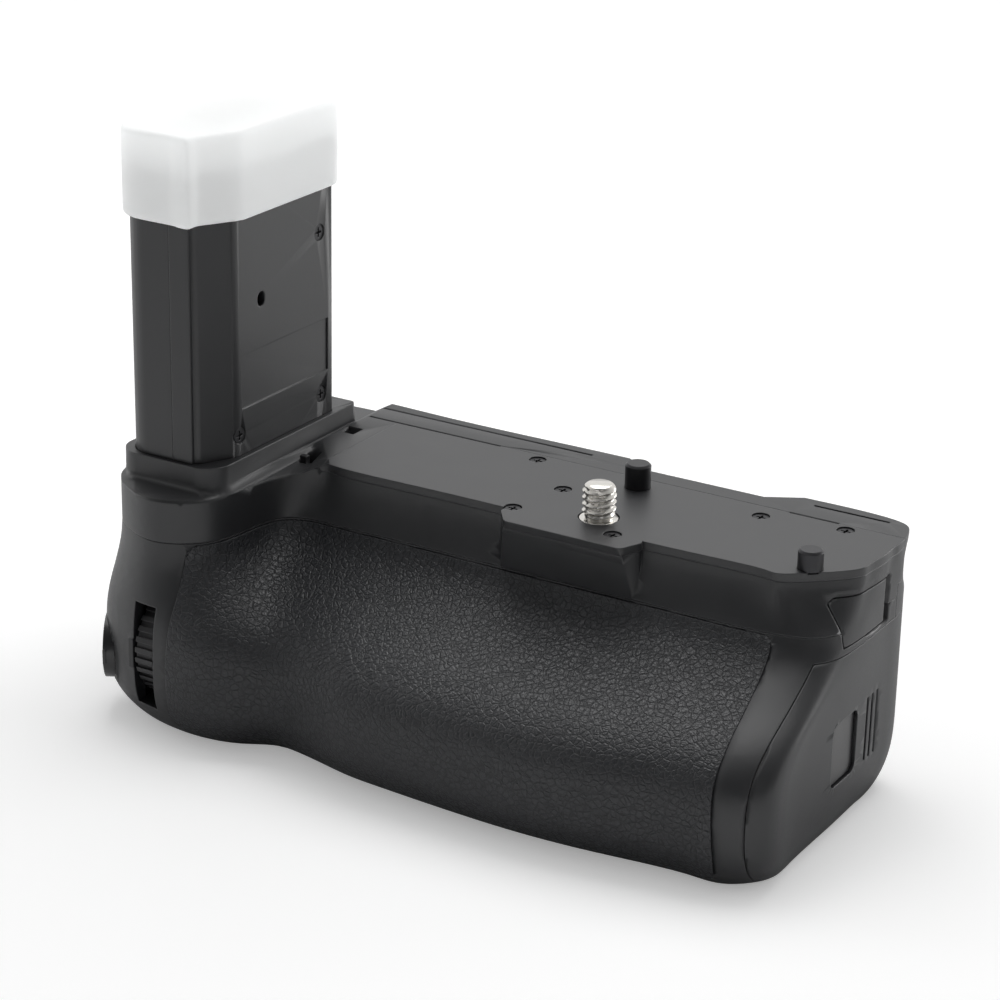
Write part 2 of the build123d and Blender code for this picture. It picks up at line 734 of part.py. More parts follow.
# What is cut out of the housing from outside and for the pieces that pass through it
with BuildPart() as housing_cuts:
    slab(
        (far_left, split_y, -seam_drop - overrun),
        (far_right, far_rear, -rear_cover_top),
    )
    rod(
        (wheel_x, wheel_y, wheel_foot - wheel_gap),
        (wheel_x, wheel_y, wheel_top + wheel_gap),
        wheel_radius + wheel_gap,
    )
    rod((0, 0, -seam_drop - overrun), (0, 0, gear_top + wheel_gap), screw_gear_reach + wheel_gap)
    for y in pocket_spots:
        slab(
            (pocket_left, y - pocket_width / 2, -shoulder_drop - pocket_depth),
            (pocket_left + pocket_length, y + pocket_width / 2, overrun),
        )
    for x, y in pillar_places:
        rod((x, y, -rear_roof - overrun), (x, y, -deck_thick), pillar_radius + pillar_gap)
    add(recess_room)
    slab(
        (
            chassis_right - usb_board_length - usb_window_gap,
            usb_y - usb_board_width / 2 - usb_window_gap,
            -seam_drop - overrun,
        ),
        (
            chassis_right + usb_window_gap,
            usb_y + usb_board_width / 2 + usb_window_gap,
            usb_board_top + usb_window_gap,
        ),
    )
    slab(
        (
            usb_front - usb_length - usb_window_gap,
            usb_y - usb_width / 2 - usb_window_gap,
            -seam_drop - overrun,
        ),
        (
            far_right,
            usb_y + usb_width / 2 + usb_window_gap,
            usb_board_top + usb_height + usb_window_gap,
        ),
    )
    slab((-deck_left, far_front, -deck_thick), (far_right, deck_rear + deck_gap, overrun))
    add(tower_block(tower_gap, -seam_drop - overrun, collar_rise + overrun))
    for face in screw_faces[:wall_screws]:
        screw_hole(face, screw_length)
    rod(
        (front_pin_x, front_pin_y, -deck_thick - pins["front_pin"][5] - touch_gap),
        (front_pin_x, front_pin_y, overrun),
        pins["front_pin"][4] + touch_gap,
    )
    add(housing_hollow.part)

# Top housing
with BuildPart() as top_housing:
    add(crown.part)
    add(collar.part)
    add(housing_cuts.part, mode=Mode.SUBTRACT)
    for y in pocket_spots:
        slab(
            (pocket_left - collar_lean, y - lug_width / 2, -shoulder_drop - pocket_depth),
            (pocket_left + lug_width, y + lug_width / 2, -shoulder_drop + lug_height),
        )
top_housing.part.label = "top_housing"
export_step(top_housing.part, "parts/top_housing.step")

# Chassis: a plate with pillars up to the deck plate, seats for the gears and feet for the board
idler_seat = gear_foot - running_gap
with BuildPart() as chassis:
    with BuildSketch(Plane.XY.offset(chassis_foot)):
        with Locations(((chassis_right - chassis_left) / 2, (chassis_rear - chassis_front) / 2)):
            RectangleRounded(chassis_right + chassis_left, chassis_rear + chassis_front, chassis_corner)
    extrude(amount=chassis_thick)
    for x, y in pillar_places:
        rod((x, y, chassis_top), (x, y, -deck_thick), pillar_radius)
    for x, y in ((0, 0), (idler_x, idler_y), (wheel_x, wheel_y)):
        rod((x, y, chassis_top), (x, y, idler_seat), wheel_hub_radius)
    rod((0, 0, -overrun), (0, 0, 0), journal_radius + running_gap, mode=Mode.SUBTRACT)
    rod(
        (idler_x, idler_y, -overrun), (idler_x, idler_y, 0), idler_axle_radius + touch_gap,
        mode=Mode.SUBTRACT,
    )
    rod((wheel_x, wheel_y, -overrun), (wheel_x, wheel_y, 0), axle_radius + touch_gap, mode=Mode.SUBTRACT)
    for x in (-board_left + standoff_inset, board_right - standoff_inset):
        for y in (-board_front + standoff_inset, board_rear - standoff_inset):
            rod((x, y, board_top), (x, y, chassis_foot), standoff_radius)
    add(deck_holes.part, mode=Mode.SUBTRACT)
chassis.part.label = "chassis"
export_step(chassis.part, "parts/chassis.step")


def gear_teeth_sketch(x, y, teeth, turn):
    """A spur gear's outline with straight-sided teeth, one of them at the given angle."""
    root = gear_module * (teeth / 2 - gear_root_share)
    depth = gear_module * (gear_tip_share + gear_root_share)
    half_root = math.pi * gear_module * tooth_root_share / 2 - gear_backlash / 4
    half_tip = math.pi * gear_module * tooth_tip_share / 2 - gear_backlash / 4
    sunk = root * (1 - math.cos(math.asin(half_root / root)))
    with Locations((x, y)):
        Circle(root)
        with PolarLocations(root - sunk, teeth, start_angle=turn):
            Polygon(
                (0, -half_root), (depth + sunk, -half_tip), (depth + sunk, half_tip), (0, half_root),
                align=None,
            )


# The idler has a gap towards the screw's gear, and the wheel's gear a gap towards the idler's tooth
idler_turn = gear_angle + 180 + 180 / idler_teeth
idler_miss = (idler_teeth / 2 - 0.5) % 1
wheel_turn = gear_angle + 180 + (0.5 + idler_miss) * 360 / wheel_teeth

# Camera screw and its gear
with BuildPart() as tripod_screw:
    rod((0, 0, 0), (0, 0, screw_rise), thread_radius)
    chamfer(tripod_screw.edges().group_by(Axis.Z)[-1], screw_tip)
    rod((0, 0, gear_top), (0, 0, 0), screw_collar_radius)
    rod((0, 0, chassis_foot - running_gap - screw_clip_height), (0, 0, gear_top), journal_radius)
    rod(
        (0, 0, chassis_foot - running_gap - screw_clip_height),
        (0, 0, chassis_foot - running_gap),
        journal_radius + screw_clip,
    )
tripod_screw.part.label = "tripod_screw"
export_step(tripod_screw.part, "parts/tripod_screw.step")

with BuildPart() as screw_gear:
    with BuildSketch(Plane.XY.offset(gear_foot)):
        gear_teeth_sketch(0, 0, screw_gear_teeth, gear_angle)
        Circle(journal_radius + touch_gap, mode=Mode.SUBTRACT)
    extrude(amount=gear_height)
screw_gear.part.label = "screw_gear"
export_step(screw_gear.part, "parts/screw_gear.step")

# Idler gear and its axle
with BuildPart() as idler_gear:
    with BuildSketch(Plane.XY.offset(gear_foot)):
        gear_teeth_sketch(idler_x, idler_y, idler_teeth, idler_turn)
        with Locations((idler_x, idler_y)):
            Circle(idler_axle_radius + running_gap, mode=Mode.SUBTRACT)
    extrude(amount=gear_height)
idler_gear.part.label = "idler_gear"
export_step(idler_gear.part, "parts/idler_gear.step")

with BuildPart() as idler_axle:
    rod((idler_x, idler_y, chassis_foot), (idler_x, idler_y, gear_top + running_gap), idler_axle_radius)
    rod(
        (idler_x, idler_y, gear_top + running_gap),
        (idler_x, idler_y, gear_top + running_gap + axle_head_height),
        idler_axle_radius + axle_head,
    )
idler_axle.part.label = "idler_axle"
export_step(idler_axle.part, "parts/idler_axle.step")

# Attachment wheel: ribbed rim, web, hub and gear in one piece
with BuildPart() as attachment_wheel:
    with BuildSketch(Plane.XY.offset(wheel_foot)):
        with Locations((wheel_x, wheel_y)):
            Circle(wheel_radius)
            Circle(wheel_radius - wheel_rim_width, mode=Mode.SUBTRACT)
    extrude(amount=wheel_rim_height)
    rod(
        (wheel_x, wheel_y, wheel_top - wheel_web), (wheel_x, wheel_y, wheel_top),
        wheel_radius - wheel_rim_width / 2,
    )
    rod((wheel_x, wheel_y, gear_top), (wheel_x, wheel_y, wheel_top), wheel_hub_radius)
    with BuildSketch(Plane.XY.offset(wheel_foot)):
        with Locations((wheel_x, wheel_y)):
            with PolarLocations(wheel_radius, wheel_ribs):
                Rectangle(2 * rib_depth, rib_share * math.tau * wheel_radius / wheel_ribs)
    extrude(amount=wheel_rim_height, mode=Mode.SUBTRACT)
    with BuildSketch(Plane.XY.offset(gear_foot)):
        gear_teeth_sketch(wheel_x, wheel_y, wheel_teeth, wheel_turn)
    extrude(amount=gear_height)
    rod(
        (wheel_x, wheel_y, -overrun), (wheel_x, wheel_y, 0), axle_radius + running_gap,
        mode=Mode.SUBTRACT,
    )
attachment_wheel.part.label = "attachment_wheel"
export_step(attachment_wheel.part, "parts/attachment_wheel.step")

with BuildPart() as wheel_axle:
    rod((wheel_x, wheel_y, chassis_foot), (wheel_x, wheel_y, wheel_top + running_gap), axle_radius)
    rod(
        (wheel_x, wheel_y, wheel_top + running_gap),
        (wheel_x, wheel_y, wheel_top + running_gap + axle_head_height),
        axle_radius + axle_head,
    )
wheel_axle.part.label = "wheel_axle"
export_step(wheel_axle.part, "parts/wheel_axle.step")

# Main board with its chips, and the strip that runs down from the tower
with BuildPart() as main_board:
    slab((-board_left, -board_front, board_foot), (board_right, board_rear, board_top))
    for x in (-chip_pitch, 0, chip_pitch):
        slab(
            (x - chip_size, -chip_size / 2, board_foot - chip_height),
            (x, chip_size / 2, board_foot),
        )
main_board.part.label = "main_board"
export_step(main_board.part, "parts/main_board.step")

block_foot = tower_rise - tower_wall - contact_block_height
with BuildPart() as tower_flex:
    slab(
        (-flex_x, flex_y - flex_width / 2, board_top),
        (-flex_x + flex_thick, flex_y + flex_width / 2, block_foot),
    )
    slab(
        (-flex_x, flex_y - flex_width / 2, board_top),
        (-board_left + standoff_inset / 2, flex_y + flex_width / 2, board_top + flex_thick),
    )
tower_flex.part.label = "tower_flex"
export_step(tower_flex.part, "parts/tower_flex.step")

# Tower: two shells that meet at a seam, screwed together from the right
split_x = tower_left + tower_split
tower_hollow = tower_block(-tower_wall, -tower_root - overrun, tower_rise - tower_wall)
tower_faces = [
    Plane(origin=(tower_right - screw_head_sink, tower_front + along, up), z_dir=(1, 0, 0))
    for along, up in tower_screw_places
]
contact_ys = [
    tower_front + contact_y + (index - (contact_count - 1) / 2) * contact_pitch
    for index in range(contact_count)
]

with BuildPart() as tower_screw_rooms:
    for face in tower_faces:
        screw_hole(face, tower_screw_length)

with BuildPart() as tower_shell_right:
    add(tower_block(0, -tower_root, tower_rise))
    add(tower_hollow, mode=Mode.SUBTRACT)
    for along, up in tower_screw_places:
        rod(
            (split_x, tower_front + along, up), (tower_right - tower_wall / 2, tower_front + along, up),
            tower_boss_radius,
        )
    slab(
        (split_x + tower_seam / 2, far_front, -overrun), (tower_right, far_rear, tower_rise),
        mode=Mode.INTERSECT,
    )
    slab(
        (tower_right - tower_wall, -flange_half, -left_roof - flange_height),
        (tower_right + flange_reach, flange_half, -left_roof),
    )
    slab(
        (tower_right - label_depth, tower_front + label_front, label_foot),
        (tower_right + overrun, tower_front + label_rear, label_top),
        mode=Mode.SUBTRACT,
    )
    with BuildSketch(Plane.YZ.offset(tower_right - 2 * tower_wall)):
        with Locations((tower_front + tower_hole_y, tower_hole_z)):
            SlotOverall(tower_hole_length, 2 * tower_hole_radius, rotation=90)
    extrude(amount=overrun, mode=Mode.SUBTRACT)
    add(tower_screw_rooms.part, mode=Mode.SUBTRACT)
tower_shell_right.part.label = "tower_shell_right"
export_step(tower_shell_right.part, "parts/tower_shell_right.step")

with BuildPart() as tower_shell_left:
    add(tower_block(0, -tower_root, tower_rise))
    add(tower_hollow, mode=Mode.SUBTRACT)
    for along, up in tower_screw_places:
        rod(
            (tower_left + tower_wall / 2, tower_front + along, up), (split_x, tower_front + along, up),
            tower_boss_radius,
        )
    slab(
        (tower_left, far_front, -overrun), (split_x - tower_seam / 2, far_rear, tower_rise),
        mode=Mode.INTERSECT,
    )
    slab(
        (tower_left + flange_half, tower_rear - tower_wall, -left_roof - flange_height),
        (split_x - tower_seam, tower_rear + flange_reach, -left_roof),
    )
    for y in contact_ys:
        slab(
            (tower_left + contact_x - touch_gap, y - contact_width / 2 - touch_gap, tower_rise - tower_wall),
            (
                tower_left + contact_x + contact_length + touch_gap,
                y + contact_width / 2 + touch_gap,
                tower_rise + overrun,
            ),
            mode=Mode.SUBTRACT,
        )
    add(tower_screw_rooms.part, mode=Mode.SUBTRACT)
tower_shell_left.part.label = "tower_shell_left"
export_step(tower_shell_left.part, "parts/tower_shell_left.step")

with BuildPart() as tower_screws:
    for face in tower_faces:
        add_screw(face, tower_screw_length)
tower_screws.part.label = "tower_screws"
export_step(tower_screws.part, "parts/tower_screws.step")

# Contact block under the tower's roof and the contacts that stand on it
contact_block = tower_block(-tower_wall - contact_block_gap, block_foot, tower_rise - tower_wall)
contact_block.label = "contact_block"
export_step(contact_block, "parts/contact_block.step")

with BuildPart() as tower_contacts:
    for y in contact_ys:
        slab(
            (tower_left + contact_x, y - contact_width / 2, tower_rise - tower_wall),
            (tower_left + contact_x + contact_length, y + contact_width / 2, tower_rise + contact_proud),
        )
tower_contacts.part.label = "tower_contacts"
export_step(tower_contacts.part, "parts/tower_contacts.step")


def cap_block(grow, low, high):
    """The cap's outline, grown by a distance, between two heights."""
    with BuildPart() as block:
        with BuildSketch(Plane.XY.offset(low)):
            with BuildLine():
                FilletPolyline(
                    (tower_right + grow, tower_rear + grow),
                    (tower_left - grow, tower_rear + grow),
                    (tower_left - grow, tower_front - grow),
                    (tower_right - tower_facet, tower_front - grow),
                    (tower_right + grow, tower_front + tower_facet_back),
                    radius=[
                        tower_rear_corner + grow, tower_rear_corner + grow, tower_corner + grow,
                        tower_facet_round + grow, tower_side_round,
                    ],
                    close=True,
                )
            make_face()
        extrude(amount=high - low)
    return block.part


# Cap over the contacts, with a ridge in front and two ribs that sit on the tower
with BuildPart() as contact_cap:
    add(cap_block(cap_gap + cap_wall, cap_foot, cap_rise))
    slab(
        (tower_right - cap_ridge_left, tower_front - cap_gap - cap_wall - cap_ridge_proud, cap_foot),
        (tower_right - cap_ridge_right, tower_front, cap_rise),
    )
    add(cap_block(cap_gap, cap_foot - overrun, cap_rise - cap_roof), mode=Mode.SUBTRACT)
    for reach in cap_rib_places:
        slab(
            (tower_left, tower_front + reach, tower_rise + cap_seat_gap),
            (tower_right - tower_band, tower_front + reach + cap_rib, cap_rise - cap_roof / 2),
        )
contact_cap.part.label = "contact_cap"
export_step(contact_cap.part, "parts/contact_cap.step")

# Flap over the USB socket, a piece of the body's own surface
with BuildPart() as usb_flap:
    add(upper_form)
    add(lower_form)
    add(flap_room, mode=Mode.INTERSECT)
usb_flap.part.label = "usb_flap"
export_step(usb_flap.part, "parts/usb_flap.step")

# USB board on the chassis and the socket on it
with BuildPart() as usb_board:
    slab(
        (chassis_right - usb_board_length, usb_y - usb_board_width / 2, chassis_top),
        (chassis_right, usb_y + usb_board_width / 2, usb_board_top),
    )
usb_board.part.label = "usb_board"
export_step(usb_board.part, "parts/usb_board.step")

with BuildPart() as usb_port:
    slab(
        (usb_front - usb_length, usb_y - usb_width / 2, usb_board_top),
        (usb_front, usb_y + usb_width / 2, usb_board_top + usb_height),
    )
    fillet(usb_port.edges().filter_by(Axis.X), usb_corner)
    slab(
        (usb_front - usb_length + usb_wall, usb_y - usb_width / 2 + 2 * usb_wall, usb_board_top + usb_wall),
        (usb_front, usb_y + usb_width / 2 - 2 * usb_wall, usb_board_top + usb_height - usb_wall),
        mode=Mode.SUBTRACT,
    )
    slab(
        (usb_front - usb_length, usb_y - usb_tongue_width / 2, usb_board_top + usb_height / 2 - usb_wall),
        (usb_front - usb_wall, usb_y + usb_tongue_width / 2, usb_board_top + usb_height / 2 + usb_wall),
    )
usb_port.part.label = "usb_port"
export_step(usb_port.part, "parts/usb_port.step")

# Rubber on the front of the grip
rubber_outline = [
    (x * (body_left if x < 0 else body_right), -z * body_drop) for x, z in rubber_shares
]
rubber_room = prism(rubber_outline, rubber_back, body_front + overrun, plane=Plane.XZ, radius=rubber_corner)
with BuildPart() as rubber_pocket:
    add(lofted(lower_levels(), -skin_margin))
    add(rubber_room, mode=Mode.INTERSECT)
    add(lofted(lower_levels(), rubber_sink), mode=Mode.SUBTRACT)
with BuildPart() as front_grip_rubber:
    add(lofted(lower_levels(), -rubber_proud))
    add(rubber_room, mode=Mode.INTERSECT)
    add(lofted(lower_levels(), rubber_sink), mode=Mode.SUBTRACT)
front_grip_rubber.part.label = "front_grip_rubber"
export_step(front_grip_rubber.part, "parts/front_grip_rubber.step")

# Planes of the shutter and the side and rear buttons, looking out of the body
shutter_plane = Plane(
    origin=(shutter_x, shutter_y, -shutter_drop),
    x_dir=(0, 0, 1),
    z_dir=(-math.cos(math.radians(shutter_angle)), -math.sin(math.radians(shutter_angle)), 0),
)
side_planes = {
    "exposure_button": Plane(origin=(-body_left, side_button_y, -exposure_drop), z_dir=(-1, 0, 0)),
    "sensitivity_button": Plane(origin=(-body_left, side_button_y, -sensitivity_drop), z_dir=(-1, 0, 0)),
}
rear_face = rear_face_share * body_rear
focus_plane = Plane(origin=(focus_x, rear_face, -focus_drop), z_dir=(0, 1, 0))
selector_plane = Plane(origin=(selector_x, rear_face, -selector_drop), z_dir=(0, 1, 0))
side_board_face = -body_left + body_wall + button_lip_thick + button_travel + button_gap
rear_board_face = rear_face - body_wall - button_lip_thick - button_travel - button_gap

# What is cut out of both lower covers
with BuildPart() as cover_cuts:
    add(lower_hollow)
    slab((far_left, far_front, -seam_drop - seam_gap), (far_right, split_y, overrun))
    slab(
        (end_split - end_gap / 2, far_front, -body_drop - overrun),
        (far_right, far_rear, -end_top_drop + end_gap),
    )
    slab(
        (end_split - body_wall, tray_front - tray_gap, tray_foot - tray_gap),
        (far_right, tray_rear + tray_gap, tray_top + tray_gap),
    )
    slab(
        (guide_left - seam_gap, guide_front - seam_gap, guide_foot - seam_gap),
        (guide_right, guide_rear + seam_gap, tray_top + seam_gap),
    )
    add(recess_room)

# What the front cover keeps inside its hollow: brackets of the dial and the seat of the shutter
with BuildPart() as front_fittings:
    for x in (dial_x - dial_width / 2 - dial_gap - bracket_thick, dial_x + dial_width / 2 + dial_gap):
        slab(
            (x, -body_front + body_wall / 2, -front_dial_drop - bracket_half),
            (x + bracket_thick, front_dial_y + bracket_half, -front_dial_drop + bracket_half),
        )
    with Locations(shutter_plane.offset(-ring_sink)):
        Cylinder(boss_radius, boss_thick, align=on_face)
        with PolarLocations(post_spread, 2):
            Cylinder(post_radius, stem_end + shutter_travel + 2 * ring_gap - ring_sink, align=on_face)
    for drop in (exposure_drop, sensitivity_drop):
        for y in (side_button_y - post_spread, side_button_y + post_spread):
            rod((-body_left + body_wall / 2, y, -drop), (side_board_face, y, -drop), post_radius)

# What passes through the front cover: dial, shutter, buttons, base plate, bush and screws
front_axle_ends = (
    dial_x - dial_width / 2 - dial_gap - bracket_thick,
    dial_x + dial_width / 2 + dial_gap + bracket_thick,
)
base_faces = [
    Plane(origin=(x, y, -body_drop + screw_head_sink), z_dir=(0, 0, -1))
    for x in (plate_middle_x - base_screw_spread_x, plate_middle_x + base_screw_spread_x)
    for y in (plate_middle_y - base_screw_spread_y, plate_middle_y + base_screw_spread_y)
]
with BuildPart() as front_holes:
    slab(
        (dial_x - dial_width / 2 - dial_slot_gap, far_front, -front_dial_drop - front_slot_half),
        (
            dial_x + dial_width / 2 + dial_slot_gap,
            -body_front + dial_slot_reach,
            -front_dial_drop + front_slot_half,
        ),
    )
    rod(
        (front_axle_ends[0], front_dial_y, -front_dial_drop),
        (front_axle_ends[1], front_dial_y, -front_dial_drop),
        dial_axle_radius + touch_gap,
    )
    with Locations(shutter_plane.offset(-ring_sink)):
        Cylinder(ring_outer + ring_gap, body_wall + ring_sink, align=from_face)
    with Locations(shutter_plane):
        Cylinder(stem_radius + ring_gap, ring_sink + boss_thick + touch_gap, align=on_face)
    for plane in side_planes.values():
        with Locations(plane.offset(body_wall)):
            Cylinder(side_button_radius + button_gap, 3 * body_wall, align=on_face)
        with Locations(plane.offset(-body_wall)):
            Cylinder(side_button_radius + button_lip + button_gap, body_wall, align=on_face)
    with BuildSketch(Plane.XY.offset(-body_drop - touch_gap)):
        with Locations((plate_middle_x, plate_middle_y)):
            RectangleRounded(
                plate_left + plate_right + 2 * plate_gap,
                plate_front + plate_rear + 2 * plate_gap,
                plate_corner + plate_gap,
            )
    extrude(amount=plate_thick + touch_gap)
    rod((0, 0, -body_drop), (0, 0, base_top), bush_radius + touch_gap)
    for face in base_faces:
        with Locations(face):
            Cylinder(screw_shank_radius + touch_gap, base_screw_length + touch_gap, align=on_face)

# Front cover of the grip
with BuildPart() as front_cover:
    add(lower_form)
    add(cover_cuts.part, mode=Mode.SUBTRACT)
    slab((far_left, split_y - seam_gap / 2, -body_drop), (far_right, far_rear, 0), mode=Mode.SUBTRACT)
    add(front_fittings.part)
    add(front_holes.part, mode=Mode.SUBTRACT)
    add(rubber_pocket.part, mode=Mode.SUBTRACT)
front_cover.part.label = "front_cover"
export_step(front_cover.part, "parts/front_cover.step")

# Rubber under the thumb, at the back
thumb_room = prism(
    [
        (-thumb_left, -thumb_top), (-thumb_left, -thumb_foot),
        (-thumb_right, -thumb_foot), (-thumb_right, -thumb_top),
    ],
    -body_rear - overrun,
    -body_rear / 2,
    plane=Plane.XZ,
    radius=thumb_corner,
)
with BuildPart() as thumb_pocket:
    add(lofted(lower_levels(), -skin_margin))
    add(thumb_room, mode=Mode.INTERSECT)
    add(lofted(lower_levels(), rubber_sink), mode=Mode.SUBTRACT)
with BuildPart() as thumb_rubber:
    add(lofted(lower_levels(), -rubber_proud))
    add(thumb_room, mode=Mode.INTERSECT)
    add(lofted(lower_levels(), rubber_sink), mode=Mode.SUBTRACT)
thumb_rubber.part.label = "thumb_rubber"
export_step(thumb_rubber.part, "parts/thumb_rubber.step")

# Rear cover: the back of the lower body and a strip of the upper body above the seam
rear_axle_left = dial_x - dial_width / 2 - dial_gap - bracket_thick
with BuildPart() as rear_holes:
    slab(
        (
            dial_x - dial_width / 2 - dial_slot_gap,
            body_rear - dial_slot_reach,
            -rear_dial_drop - rear_slot_half,
        ),
        (dial_x + dial_width / 2 + dial_slot_gap, far_rear, -rear_dial_drop + rear_slot_half),
    )
    rod(
        (rear_axle_left, rear_dial_y, -rear_dial_drop),
        (rear_axle_left + bracket_thick, rear_dial_y, -rear_dial_drop),
        dial_axle_radius + touch_gap,
    )
    with Locations(focus_plane.offset(body_wall)):
        Cylinder(focus_radius + button_gap, 3 * body_wall, align=on_face)
    with Locations(focus_plane.offset(-body_wall)):
        Cylinder(focus_radius + button_lip + button_gap, body_wall, align=on_face)
    with Locations(selector_plane.offset(-selector_pocket_depth)):
        Cylinder(selector_pocket_radius, 2 * body_wall, align=from_face)
    with Locations(selector_plane.offset(body_wall)):
        Cylinder(selector_hole_radius, 3 * body_wall, align=on_face)

with BuildPart() as rear_cover:
    add(lower_form)
    add(cover_cuts.part, mode=Mode.SUBTRACT)
    slab((far_left, far_front, -body_drop), (far_right, split_y + seam_gap / 2, 0), mode=Mode.SUBTRACT)
    slab(
        (
            rear_axle_left,
            rear_dial_y - bracket_half,
            -rear_dial_drop - bracket_half,
        ),
        (rear_axle_left + bracket_thick, rear_face - body_wall / 2, -rear_dial_drop + bracket_half),
    )
    for x in (rear_board_left - pillar_radius, rear_board_right + pillar_radius):
        for drop in (rear_board_top + pillar_radius, rear_board_foot - pillar_radius):
            rod((-x, rear_board_face, -drop), (-x, rear_face - body_wall / 2, -drop), post_radius)
    add(rear_holes.part, mode=Mode.SUBTRACT)
    add(thumb_pocket.part, mode=Mode.SUBTRACT)

with BuildPart() as rear_strip:
    add(upper_form)
    slab(
        (far_left, split_y + seam_gap / 2, -seam_drop),
        (far_right, far_rear, -rear_cover_top - seam_gap),
        mode=Mode.INTERSECT,
    )
    add(upper_hollow, mode=Mode.SUBTRACT)
    add(recess_room, mode=Mode.SUBTRACT)
with BuildPart() as rear_shell:
    add(rear_cover.part)
    add(rear_strip.part)
rear_shell.part.label = "rear_cover"
export_step(rear_shell.part, "parts/rear_cover.step")

# Base plate, its screws and the tripod bush
with BuildPart() as base_plate:
    with BuildSketch(Plane.XY.offset(-body_drop)):
        with Locations((plate_middle_x, plate_middle_y)):
            RectangleRounded(plate_left + plate_right, plate_front + plate_rear, plate_corner)
        Circle(bush_radius + touch_gap, mode=Mode.SUBTRACT)
    extrude(amount=plate_thick)
    with BuildSketch(Plane.XY.offset(-body_drop)):
        for face in base_faces:
            with Locations((face.origin.X, face.origin.Y)):
                Circle(screw_head_radius + screw_head_gap)
    extrude(amount=screw_head_sink + screw_head_height, mode=Mode.SUBTRACT)
    with BuildSketch(Plane.XY.offset(-body_drop)):
        for face in base_faces:
            with Locations((face.origin.X, face.origin.Y)):
                Circle(screw_shank_radius + touch_gap)
    extrude(amount=plate_thick, mode=Mode.SUBTRACT)
base_plate.part.label = "base_plate"
export_step(base_plate.part, "parts/base_plate.step")

with BuildPart() as base_screws:
    for face in base_faces:
        add_screw(face, base_screw_length)
base_screws.part.label = "base_screws"
export_step(base_screws.part, "parts/base_screws.step")

with BuildPart() as tripod_socket:
    rod((0, 0, -body_drop), (0, 0, base_top), bush_radius)
    rod((0, 0, base_top), (0, 0, base_top + bush_flange_height), bush_flange_radius)
    rod((0, 0, -body_drop), (0, 0, -body_drop + bush_depth), thread_radius, mode=Mode.SUBTRACT)
tripod_socket.part.label = "tripod_socket"
export_step(tripod_socket.part, "parts/tripod_socket.step")

# Battery tray: two rooms side by side, open above, and a room for the latch at the end
with BuildPart() as battery_tray:
    slab((tray_left, tray_front, tray_foot), (end_face, tray_rear, tray_top))
    for left in bay_lefts:
        slab(
            (left, tray_front + tray_wall, tray_foot + tray_floor),
            (left + bay_length, tray_rear - tray_wall, tray_top),
            mode=Mode.SUBTRACT,
        )
    slab(
        (
            bay_right + tray_wall,
            latch_y - latch_width / 2 - 2 * latch_lip,
            -latch_drop - latch_height / 2 - 2 * latch_lip,
        ),
        (end_face, latch_y + latch_width / 2 + 2 * latch_lip, -latch_drop + latch_height / 2 + 2 * latch_lip),
        mode=Mode.SUBTRACT,
    )
    for y in pad_places:
        for left in bay_lefts:
            slab(
                (left - tray_divider, y - pad_width / 2 - touch_gap, -pad_drop - pad_height / 2 - touch_gap),
                (left, y + pad_width / 2 + touch_gap, -pad_drop + pad_height / 2 + touch_gap),
                mode=Mode.SUBTRACT,
            )
battery_tray.part.label = "battery_tray"
export_step(battery_tray.part, "parts/battery_tray.step")

with BuildPart() as tray_contacts:
    for y in pad_places:
        for left, thick in zip(bay_lefts, (tray_divider, tray_wall)):
            slab(
                (left - thick, y - pad_width / 2, -pad_drop - pad_height / 2),
                (left + pad_proud, y + pad_width / 2, -pad_drop + pad_height / 2),
            )
tray_contacts.part.label = "tray_contacts"
export_step(tray_contacts.part, "parts/tray_contacts.step")

# Guide that the tray slides in, standing on four feet
with BuildPart() as tray_guide:
    slab((guide_left, guide_front, guide_foot), (guide_right, guide_rear, tray_top))
    chamfer(tray_guide.edges().filter_by(Axis.X).group_by(Axis.Z)[0], guide_chamfer)
    slab(
        (guide_left + guide_wall, guide_front + guide_wall, tray_foot - tray_gap),
        (guide_right, guide_rear - guide_wall, tray_top),
        mode=Mode.SUBTRACT,
    )
    for x in (-1, 1):
        for y in (-1, 1):
            spot = (
                plate_middle_x + x * guide_foot_spread_x,
                tray_centre_y + y * guide_foot_spread_y,
            )
            rod((*spot, base_top), (*spot, guide_foot), guide_foot_radius)
    for y in pad_places:
        slab(
            (guide_left, y - pad_width / 2 - touch_gap, -pad_drop - pad_height / 2 - touch_gap),
            (guide_left + guide_wall, y + pad_width / 2 + touch_gap, -pad_drop + pad_height / 2 + touch_gap),
            mode=Mode.SUBTRACT,
        )
tray_guide.part.label = "tray_guide"
export_step(tray_guide.part, "parts/tray_guide.step")

with BuildPart() as guide_contacts:
    for y in pad_places:
        slab(
            (guide_left, y - pad_width / 2, -pad_drop - pad_height / 2),
            (guide_left + guide_wall + tray_gap / 2, y + pad_width / 2, -pad_drop + pad_height / 2),
        )
guide_contacts.part.label = "guide_contacts"
export_step(guide_contacts.part, "parts/guide_contacts.step")

# End cap of the tray: the body's own end, with the latch's hole and three finger grooves
with BuildPart() as end_cap:
    add(lower_form)
    slab((end_face, far_front, -body_drop), (far_right, far_rear, -end_top_drop), mode=Mode.INTERSECT)
    for y in groove_places:
        slab(
            (body_right - grip_groove_depth, y - grip_groove_width / 2, -grip_groove_foot),
            (far_right, y + grip_groove_width / 2, -grip_groove_top),
            mode=Mode.SUBTRACT,
        )
    with BuildSketch(Plane.YZ.offset(end_face)):
        with Locations((latch_y, -latch_drop)):
            RectangleRounded(
                latch_width + 2 * latch_gap, latch_height + 2 * latch_gap, latch_corner + latch_gap,
            )
    extrude(amount=overrun, mode=Mode.SUBTRACT)
end_cap.part.label = "end_cap"
export_step(end_cap.part, "parts/end_cap.step")

